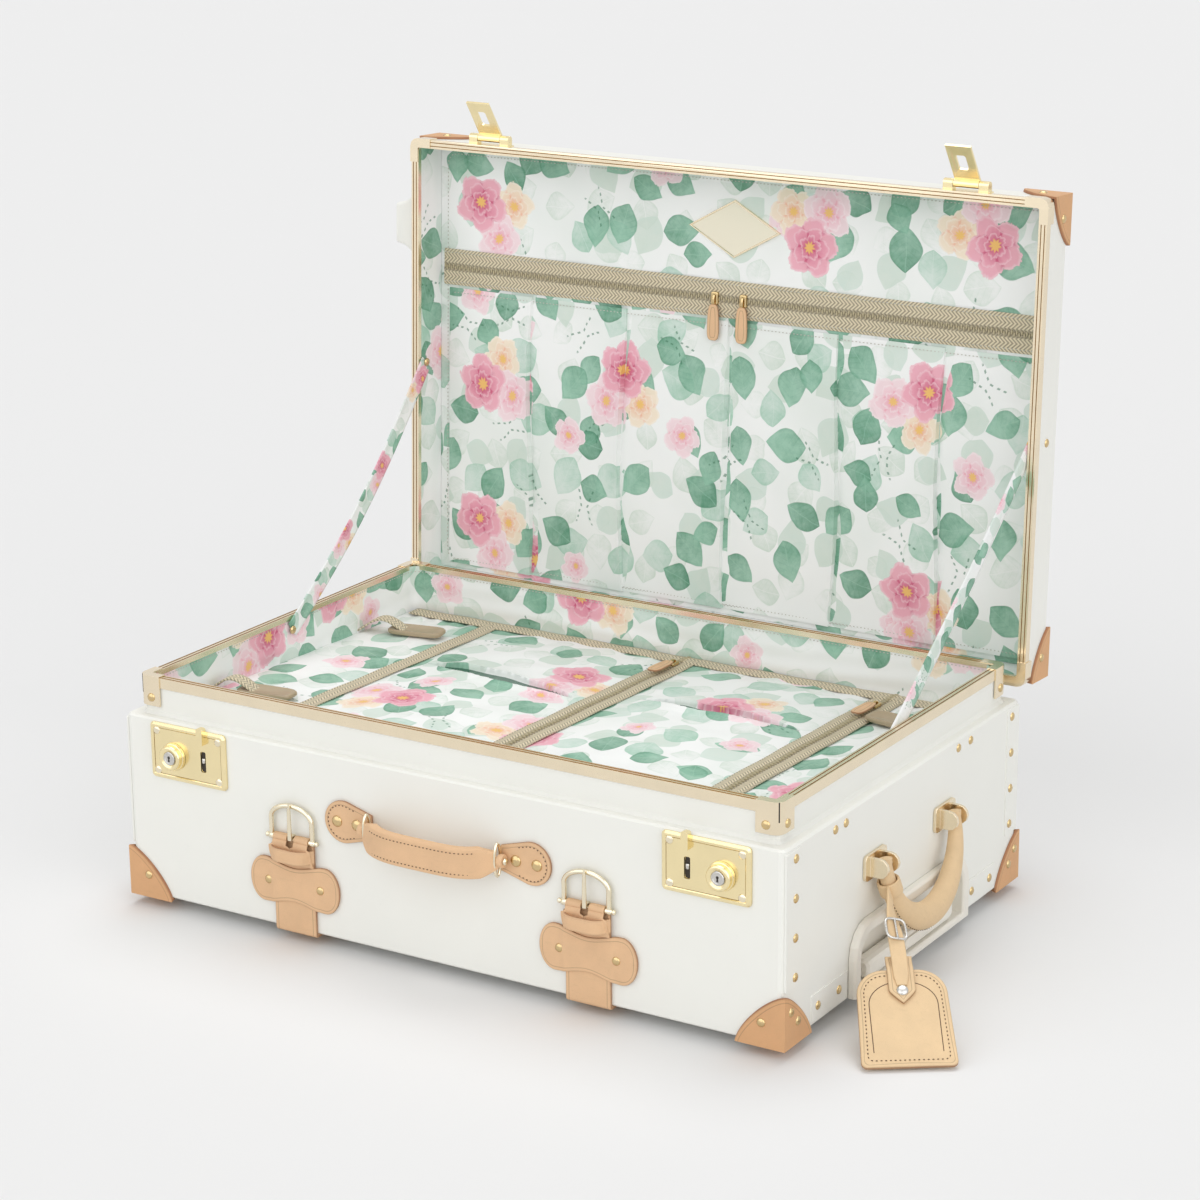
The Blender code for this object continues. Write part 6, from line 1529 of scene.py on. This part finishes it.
        piece.tube(loop[:-1], np.cross(onward, self.tangent), 0.0070, 0.0013, 20, 5.0, loop=True)
        self.middle = line[22]
        self.middle_ahead = ahead[22]
        self.middle_wide = wide[22]
        return piece

    def buckle(self):
        """Small rounded wire buckle that lies on the strap, with the tongue across it."""
        cosine, sine = rounded(36, 4.0)
        thick = np.cross(self.middle_ahead, self.middle_wide)
        thick = thick if thick @ self.face > 0 else -thick
        line = (self.middle + self.middle_wide * 0.0100 * cosine[:, None]
                + self.middle_ahead * 0.0095 * sine[:, None] + thick * 0.0026)
        piece = Piece()
        piece.tube(line, thick, 0.0012, 0.0012, 10, loop=True)
        run = np.linspace(-0.0102, 0.0102, 8)[:, None]
        tongue = self.middle + self.middle_ahead * run + thick * 0.0031
        piece.tube(tongue, thick, 0.0010, 0.0008, 10)
        return piece


class SUITCASE_OT_buckles(bpy.types.Operator):
    """Bends the two horseshoe buckles and forges their prongs."""

    bl_idname = "suitcase.buckles"
    bl_label = "Bend the buckles"

    def execute(self, context):
        for centre, name in ((-STRAP_X, "left"), (STRAP_X, "right")):
            wire = self.horseshoe(centre)
            made = wire.make("buckle_wire_" + name, "buckle_frame_" + name, "buckle_gold", 60.0)
            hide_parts("buckle_frame_" + name)
            tongue = self.prong(centre)
            made = tongue.make("buckle_tongue_" + name, "buckle_prong_" + name, "buckle_gold", 60.0)
            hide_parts("buckle_prong_" + name)
        return {"FINISHED"}

    def horseshoe(self, centre):
        """Round wire along a bar and a swollen arch, with a turned knob at each end of the bar."""
        half = 0.02275
        turn = np.linspace(0.0, np.pi, 41)
        swell = half * (1.0 + 0.06 * np.sin(2.0 * turn) * np.where(turn < 0.5 * np.pi, 1.0, -1.0))
        arch = points_of(swell * np.cos(turn), 0.01583 + 0.7 * half * np.sin(turn))
        leg = points_of(half, np.linspace(0.0, 0.0145, 7))
        line = np.concatenate([leg, arch, leg[::-1] * [-1.0, 1.0]])
        wire = front_place(centre + line[:, 0], BAR_LEVEL + line[:, 1], BAR_OUT)
        piece = Piece()
        piece.tube(wire, FRONT, 0.0023, 0.0023, 14)
        bar = front_place(np.linspace(centre - half, centre + half, 12), BAR_LEVEL, BAR_OUT)
        piece.tube(bar, (0.0, 0.0, 1.0), 0.0019, 0.0019, 14)
        knob = [(0.0, -0.0030), (0.0029, -0.0030), (0.0031, -0.0016), (0.0031, 0.0016), (0.0022, 0.0026),
                (0.0016, 0.0034), (0.0023, 0.0043), (0.0025, 0.0053), (0.0018, 0.0063), (0.0, 0.0067)]
        for side in (-1.0, 1.0):
            origin = front_place(centre + side * half, BAR_LEVEL, BAR_OUT)
            piece.grid(turned(knob, origin, (side, 0.0, 0.0), 20), wrap_columns=True)
        return piece

    def prong(self, centre):
        """Prong: a ring round the bar, then a tapering rod that lies on the arch."""
        turn = np.linspace(1.35 * np.pi, 0.0, 18)
        eye = 0.0036
        ring = points_of(BAR_OUT + eye * np.cos(turn), BAR_LEVEL + eye * np.sin(turn))
        rod = points_of(BAR_OUT + eye, BAR_LEVEL + 0.0352 * np.linspace(0.0, 1.0, 22)[1:])
        path = np.concatenate([ring, rod])
        line = front_place(centre, path[:, 1], path[:, 0])
        width = np.interp(np.arange(len(path)), [0, 18, 34, 38], [0.0024, 0.0023, 0.0018, 0.0008])[:, None]
        piece = Piece()
        piece.tube(line, (1.0, 0.0, 0.0), 0.62 * width, width, 12, 2.6)
        return piece


class SUITCASE_OT_sliders(bpy.types.Operator):
    """Casts the four zip sliders and cuts their leather pulls."""

    bl_idname = "suitcase.sliders"
    bl_label = "Make the zip sliders"

    def execute(self, context):
        for name, x in (("left", -0.016), ("right", 0.016)):
            def on_band(u, v, w, x=x):
                """A point of a lid slider: along its pull, across it and up from the band."""
                return lid_place(x + v, ZIP_LEVEL - u, 0.0025 + w)
            self.slider("lid_slider_" + name, on_band, 0.0035)
        for name, x, y in (("mid", 0.0, 0.178), ("right", 0.230, 0.165)):
            def on_tape(u, v, w, x=x, y=y):
                """A point of a divider slider: along its pull, across it and up from the tape."""
                return points_of(x + v, y - u, divider_ground(y - u) + 0.0030 + w)
            self.slider("divider_slider_" + name, on_tape, 0.0042)
        return {"FINISHED"}

    def slider(self, node, place, lift):
        """A waisted metal body with a bridge, and a leather pull that lies along the tape."""
        cosine, sine = rounded(48, 4.0)
        waist = 1.0 - 0.16 * (1.0 - cosine ** 2)
        outline = points_of(0.0065 * cosine, 0.0045 * sine * waist)
        flat, height, _ = plate(outline, outline * [0.6, 0.0], 0.0034, 0.0007)
        body = skin(place(flat[..., 0], flat[..., 1], height))
        turn = np.linspace(0.0, np.pi, 14)
        arch_u = -0.0040 + 0.0105 * (1.0 - np.cos(turn)) / 2.0
        arch = place(arch_u, 0.0, 0.0030 + 0.0024 * np.sin(turn))
        body.tube(arch, place(0.0, 1.0, 0.0) - place(0.0, 0.0, 0.0), 0.0009, 0.0013, 8)
        made = body.make(node + "_body", node, "stud_gold", 50.0)
        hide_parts(node)
        cosine, sine = rounded(64, 3.6)
        taper = 1.0 + 0.10 * cosine
        outline = points_of(0.0180 * cosine, 0.0064 * sine * taper)
        spine = points_of(np.clip(outline[:, 0], -0.0135, 0.0135), 0.0)
        flat, height, inset = plate(outline, spine, 0.0020, 0.0006)
        pull = skin(place(0.0235 + flat[..., 0], flat[..., 1], lift + height), inset)
        pull.make(node + "_pull", node, "tan", 55.0)


class SUITCASE_OT_locks(bpy.types.Operator):
    """Turns the lock knobs and key plugs; fits screws, slot rollers, and painted shade as face lines,
    keyholes and slots.
    """

    bl_idname = "suitcase.locks"
    bl_label = "Fit the locks"

    def execute(self, context):
        sizes = context.scene.suitcase_sizes
        screws = Piece()
        slots = Piece()
        rollers = Piece()
        grooves = Piece()
        for side, name in ((-1.0, "left"), (1.0, "right")):
            axis = front_place(side * KNOB_X, KNOB_LEVEL, LOCK_FACE)
            rim = [(0.0, 0.0003), (0.0132, 0.0003), (0.0132, 0.0022), (0.0128, 0.0030), (0.0120, 0.0033),
                   (0.0119, 0.0062), (0.0115, 0.0076), (0.0106, 0.0084), (0.0092, 0.0086), (0.0084, 0.0083),
                   (0.0078, 0.0077), (0.0070, 0.0075), (0.0068, 0.0074), (0.0068, 0.0050), (0.0, 0.0050)]
            knob = skin(turned(rim, axis, FRONT, 48))
            made = knob.make("lock_knob_turned_" + name, "lock_knob_" + name, "lock_gold", 38.0)
            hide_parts("lock_knob_" + name)
            barrel = [(0.0, 0.0053), (0.0065, 0.0053), (0.0065, 0.0078), (0.0059, 0.0083), (0.0046, 0.0083),
                      (0.0043, 0.0080), (0.0, 0.0080)]
            plug = skin(turned(barrel, axis, FRONT, 36))
            made = plug.make("key_plug_turned_" + name, "key_plug_" + name, "steel", 38.0)
            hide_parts("key_plug_" + name)
            self.keyhole(side).make("keyhole_" + name, "key_plug_" + name, "dark", 60.0)
            # A thin dark tube of painted shade along the step round the lock's face
            wide, high = rounded(160, 16.0)
            step = front_place(side * LOCK_X + 0.0387 * wide, LOCK_LEVEL + 0.0222 * high, LOCK_FACE)
            grooves.tube(step, FRONT, 0.00032, 0.00032, 6, loop=True)
            # Dark sheets of painted shade inside each slot
            cosine, sine = rounded(40, 6.0)
            for scale, rise in ((1.0, 0.0014), (0.96, 0.0016)):
                slots.grid(np.stack([front_place(side * SLOT_X + 0.0029 * share * scale * cosine,
                                                 0.1453 + 0.0099 * share * scale * sine, rise)
                                     for share in (1.0, 0.5, 0.0)]), wrap_columns=True)
            wheel = [(0.0, -0.0023), (0.0015, -0.0023), (0.0019, -0.0017), (0.0019, 0.0017), (0.0015, 0.0023),
                     (0.0, 0.0023)]
            hub = front_place(side * SLOT_X, 0.1465, 0.0017)
            rollers.grid(turned(wheel, hub, (0.0, 0.0, 1.0), 20), wrap_columns=True)
            corner = np.array([(u, v) for u in (-0.0355, 0.0355) for v in (-0.0195, 0.0195)])
            places = front_place(side * LOCK_X + corner[:, 0], LOCK_LEVEL + corner[:, 1], LOCK_FACE)
            screws.copies(stud(sizes.screw, 0.0013), places, frames_on(np.repeat([FRONT], 4, 0)))
        screws.make("lock_screws", "base", "buckle_gold")
        grooves.make("lock_grooves", "base", "groove")
        slots.make("lock_slot_linings", "base", "dark", closed=False)
        rollers.make("lock_slot_rollers", "base", "steel")
        return {"FINISHED"}

    def keyhole(self, side):
        """Keyhole: a round eye over a widening slot, as a thin dark plate of painted shade in the plug's
        face.
        """
        turn = np.linspace(-0.35 * np.pi, 1.35 * np.pi, 26)
        eye = points_of(0.0014 * np.cos(turn), 0.0010 + 0.0014 * np.sin(turn))
        slot = np.array([[-0.0007, -0.0002], [-0.0011, -0.0031], [0.0011, -0.0031], [0.0007, -0.0002]])
        outline = np.concatenate([eye, slot])
        middle = -0.0003
        rows = [front_place(side * KNOB_X + outline[:, 0] * scale,
                            KNOB_LEVEL + middle + (outline[:, 1] - middle) * scale, LOCK_FACE + rise)
                for scale, rise in ((1.0, 0.00798), (1.0, 0.00808), (0.0, 0.00808))]
        return skin(np.stack(rows))


def stud_rows():
    """Places and outward directions of the rivets on the base and on the lid, as two arrays each."""
    base = []
    lid = []
    outer = CLEAR + LEATHER
    for side in (-1.0, 1.0):
        end = (side, 0.0, 0.0)
        for edge in (-1.0, 1.0):
            base += [((side * 0.351, edge * 0.210, height), end) for height in np.linspace(0.058, 0.165, 4)]
            base += [((side * 0.351, edge * y, 0.017), end) for y in (0.131, 0.169)]
            depth = (0.0, edge, 0.0)
            base.append(((side * 0.330, edge * (HALF_W + outer), 0.020), depth))
            base.append(((side * (HALF_L + outer), edge * 0.2195, 0.030), end))
            base.append(((side * (HALF_L + outer), edge * 0.2075, 0.018), end))
            base.append(((side * 0.3265, edge * 0.2185, 0.1930), depth))
            base.append(((side * 0.3405, edge * 0.2055, 0.1930), end))
            lid.append(((side * 0.331, edge * (HALF_W + outer), LID_TOP - 0.015), depth))
            lid.append(((side * (HALF_L + outer), edge * 0.2085, LID_TOP - 0.015), end))
        base.append(((side * 0.3281, 0.0, 0.199), (-side, 0.0, 0.0)))
        lid.append(((side * 0.3408, 0.0, 0.1906), (-side, 0.0, 0.0)))
        lid.append(((side * HALF_L, 0.0, 0.2050), end))
        for shift in (-0.029, 0.029):
            base.append(((side * STRAP_X + shift, -HALF_W - 0.0033, 0.045), FRONT))
    for y, height in ((0.098, 0.168), (0.123, 0.168), (-0.139, 0.167), (-0.120, 0.167)):
        base.append(((0.350, y, height), (1.0, 0.0, 0.0)))
    return [np.array(rows, float).transpose(1, 0, 2) for rows in (base, lid)]


class SUITCASE_OT_studs(bpy.types.Operator):
    """Drives the rivets of base and lid."""

    bl_idname = "suitcase.studs"
    bl_label = "Drive the rivets"

    def execute(self, context):
        sizes = context.scene.suitcase_sizes
        base, lid = stud_rows()
        head = stud(sizes.rivet, sizes.rivet_rise)
        lid = opened(lid[0]), opened(lid[1]) - opened(0.0 * lid[1])
        for name, body, (places, normals) in (("base_rivets", "base", base), ("lid_rivets", "lid", lid)):
            piece = Piece()
            piece.copies(head, places, frames_on(unit(normals)))
            piece.make(name, body, "stud_gold")
        return {"FINISHED"}


class SUITCASE_OT_frame_lines(bpy.types.Operator):
    """Lays painted shade: dark fold lines along both gold frames, and dark strips at the slits in the base's
    folded caps.
    """

    bl_idname = "suitcase.frame_lines"
    bl_label = "Line the frames"

    def execute(self, context):
        for half, level, corner, insets in (("base", RIM, 0.018, (0.0120, 0.0165)),
                                            ("lid", LID_EDGE, 0.006, (0.0008, 0.0044))):
            piece = Piece()
            # Each fold line is a thin dark tube of painted shade
            for inset in insets:
                plan, _ = corner_box(HALF_L - inset, HALF_W - inset, corner - inset, 200)
                line = points_of(plan[:-1, 0], plan[:-1, 1], level)
                up = np.array([[0.0, 0.0, 0.0], [0.0, 0.0, 1.0]])
                if half == "lid":
                    line, up = opened(line), opened(up)
                piece.tube(line, up[1] - up[0], 0.00045, 0.00045, 8, loop=True)
            piece.make(half + "_frame_lines", half, "groove")
        # Dark strips of painted shade at the slits of the base's folded caps
        slits = Piece()
        height = np.linspace(0.1960, 0.2138, 8)
        for sign_x in (-1.0, 1.0):
            for sign_y in (-1.0, 1.0):
                line = points_of(sign_x * 0.3377, sign_y * 0.2157, height)
                slits.tube(line, (sign_x, sign_y, 0.0), 0.0007, 0.0005, 8)
        slits.make("base_cap_slits", "base", "dark")
        return {"FINISHED"}


# Words in the names of the solids that tell their finish
NODE_FINISHES = (("board", ("base_shell", "lid_shell")), ("plastic", ("trolley", "caster_wheel")),
                 ("lock_gold", ("lock_", "hasp_")), ("steel", ("key_plug", "caster_fork")),
                 ("print", ("lining", "divider_panel", "lid_pocket")),
                 ("tan", ("_corner_", "front_strap", "front_handle")),
                 ("pale_tan", ("side_handle_grip", "luggage_tag")),
                 ("frame_gold", ("base_frame", "lid_frame", "_bracket")))


class SUITCASE_OT_nodes(bpy.types.Operator):
    """Gives every solid piece its finish."""

    bl_idname = "suitcase.nodes"
    bl_label = "Finish the solid pieces"

    def execute(self, context):
        settings = context.scene
        make_finishes(settings.suitcase_colours, settings.suitcase_sizes)
        for name, node in frame["nodes"].items():
            finish = "stud_gold"
            for choice, words in NODE_FINISHES:
                if any(word in name for word in words):
                    finish = choice
            node.data.materials.clear()
            node.data.materials.append(FINISHES[finish])
            if finish in ("frame_gold", "stud_gold", "lock_gold", "steel"):
                soften(node, settings.suitcase_sizes.edge_soft)
            elif finish in ("board", "plastic"):
                soften(node, settings.suitcase_sizes.edge_soft * 2.5)
        return {"FINISHED"}


class SUITCASE_OT_stage(bpy.types.Operator):
    """Sets the floor, the lamps and the camera of the studio."""

    bl_idname = "suitcase.stage"
    bl_label = "Set the stage"

    def execute(self, context):
        scene = context.scene
        stage = scene.suitcase_stage
        scene.view_settings.view_transform = "Standard"
        world = bpy.data.worlds.new("studio_sky")
        scene.world = world
        world.use_nodes = True
        self.sky(world.node_tree, stage)
        count = 15
        reach = np.linspace(-42.0, 42.0, count)
        across, along = np.meshgrid(reach, reach, indexing="ij")
        points = points_of(across, along, FLOOR_LEVEL - 0.0005).reshape(-1, 3)
        index = np.arange(count * count).reshape(count, count)
        faces = np.stack([index[:-1, :-1], index[1:, :-1], index[1:, 1:], index[:-1, 1:]], -1).reshape(-1, 4)
        mesh = bpy.data.meshes.new("studio_floor")
        mesh.from_pydata(points.tolist(), [], faces.tolist())
        mesh.materials.append(finish_floor(stage.floor))
        floor = bpy.data.objects.new("studio_floor", mesh)
        scene.collection.objects.link(floor)
        for name, strength, spread, place in (("top_lamp", stage.top_lamp, 42.0, (-0.12, 0.30, 1.0)),
                                              ("key_lamp", stage.key_lamp, 75.0, (-0.35, -1.0, 0.60)),
                                              ("side_lamp", stage.side_lamp, 65.0, (1.0, -0.45, 0.55))):
            lamp = bpy.data.lights.new(name, "SUN")
            lamp.energy = strength
            lamp.angle = math.radians(spread)
            item = bpy.data.objects.new(name, lamp)
            item.rotation_euler = Vector(place).to_track_quat("Z", "Y").to_euler()
            scene.collection.objects.link(item)
        lens = bpy.data.cameras.new("studio_camera")
        lens.sensor_width = 36.0
        lens.lens = stage.lens
        lens.shift_x, lens.shift_y = stage.shift
        camera = bpy.data.objects.new("studio_camera", lens)
        camera.location = stage.camera
        camera.rotation_euler = Vector(stage.aim).to_track_quat("-Z", "Y").to_euler()
        scene.collection.objects.link(camera)
        scene.camera = camera
        return {"FINISHED"}

    def sky(self, tree, stage):
        """Even light all round, shown as a pale backdrop to the camera, in mirrors and through glass."""
        path = tree.nodes.new("ShaderNodeLightPath")
        seen = path.outputs["Is Camera Ray"]
        for ray in ("Is Glossy Ray", "Is Transmission Ray"):
            either = tree.nodes.new("ShaderNodeMath")
            either.operation = "MAXIMUM"
            tree.links.new(seen, either.inputs[0])
            tree.links.new(path.outputs[ray], either.inputs[1])
            seen = either.outputs[0]
        strength = tree.nodes.new("ShaderNodeMath")
        strength.operation = "MULTIPLY_ADD"
        tree.links.new(seen, strength.inputs[0])
        strength.inputs[1].default_value = stage.backdrop - stage.world
        strength.inputs[2].default_value = stage.world
        light = tree.nodes["Background"]
        light.inputs["Color"].default_value = (1.0, 1.0, 1.0, 1.0)
        tree.links.new(strength.outputs[0], light.inputs["Strength"])


OPERATORS = (SUITCASE_OT_nodes, SUITCASE_OT_lid_lining, SUITCASE_OT_base_lining, SUITCASE_OT_stays,
             SUITCASE_OT_corners, SUITCASE_OT_straps, SUITCASE_OT_front_handle, SUITCASE_OT_side_handle,
             SUITCASE_OT_tag, SUITCASE_OT_buckles, SUITCASE_OT_sliders, SUITCASE_OT_locks, SUITCASE_OT_studs,
             SUITCASE_OT_frame_lines, SUITCASE_OT_stage)


class SUITCASE_PT_panel(bpy.types.Panel):
    """Lists the steps that dress the suitcase."""

    bl_idname = "SUITCASE_PT_panel"
    bl_label = "Suitcase"
    bl_space_type = "VIEW_3D"
    bl_region_type = "UI"
    bl_category = "Suitcase"

    def draw(self, context):
        for operator in OPERATORS:
            self.layout.operator(operator.bl_idname)


CLASSES = (SuitcaseColours, SuitcaseSizes, SuitcaseStage, *OPERATORS, SUITCASE_PT_panel)


def register():
    """Adds the classes and the scene's settings."""
    for item in CLASSES:
        bpy.utils.register_class(item)
    bpy.types.Scene.suitcase_colours = bpy.props.PointerProperty(type=SuitcaseColours)
    bpy.types.Scene.suitcase_sizes = bpy.props.PointerProperty(type=SuitcaseSizes)
    bpy.types.Scene.suitcase_stage = bpy.props.PointerProperty(type=SuitcaseStage)


def unregister():
    """Removes what register added."""
    del bpy.types.Scene.suitcase_stage
    del bpy.types.Scene.suitcase_sizes
    del bpy.types.Scene.suitcase_colours
    for item in reversed(CLASSES):
        bpy.utils.unregister_class(item)


def main():
    """Runs every step in order."""
    register()
    bpy.ops.suitcase.nodes()
    bpy.ops.suitcase.lid_lining()
    bpy.ops.suitcase.base_lining()
    bpy.ops.suitcase.stays()
    bpy.ops.suitcase.corners()
    bpy.ops.suitcase.straps()
    bpy.ops.suitcase.front_handle()
    bpy.ops.suitcase.side_handle()
    bpy.ops.suitcase.tag()
    bpy.ops.suitcase.buckles()
    bpy.ops.suitcase.sliders()
    bpy.ops.suitcase.locks()
    bpy.ops.suitcase.studs()
    bpy.ops.suitcase.frame_lines()
    bpy.ops.suitcase.stage()


if __name__ == "__main__":
    main()
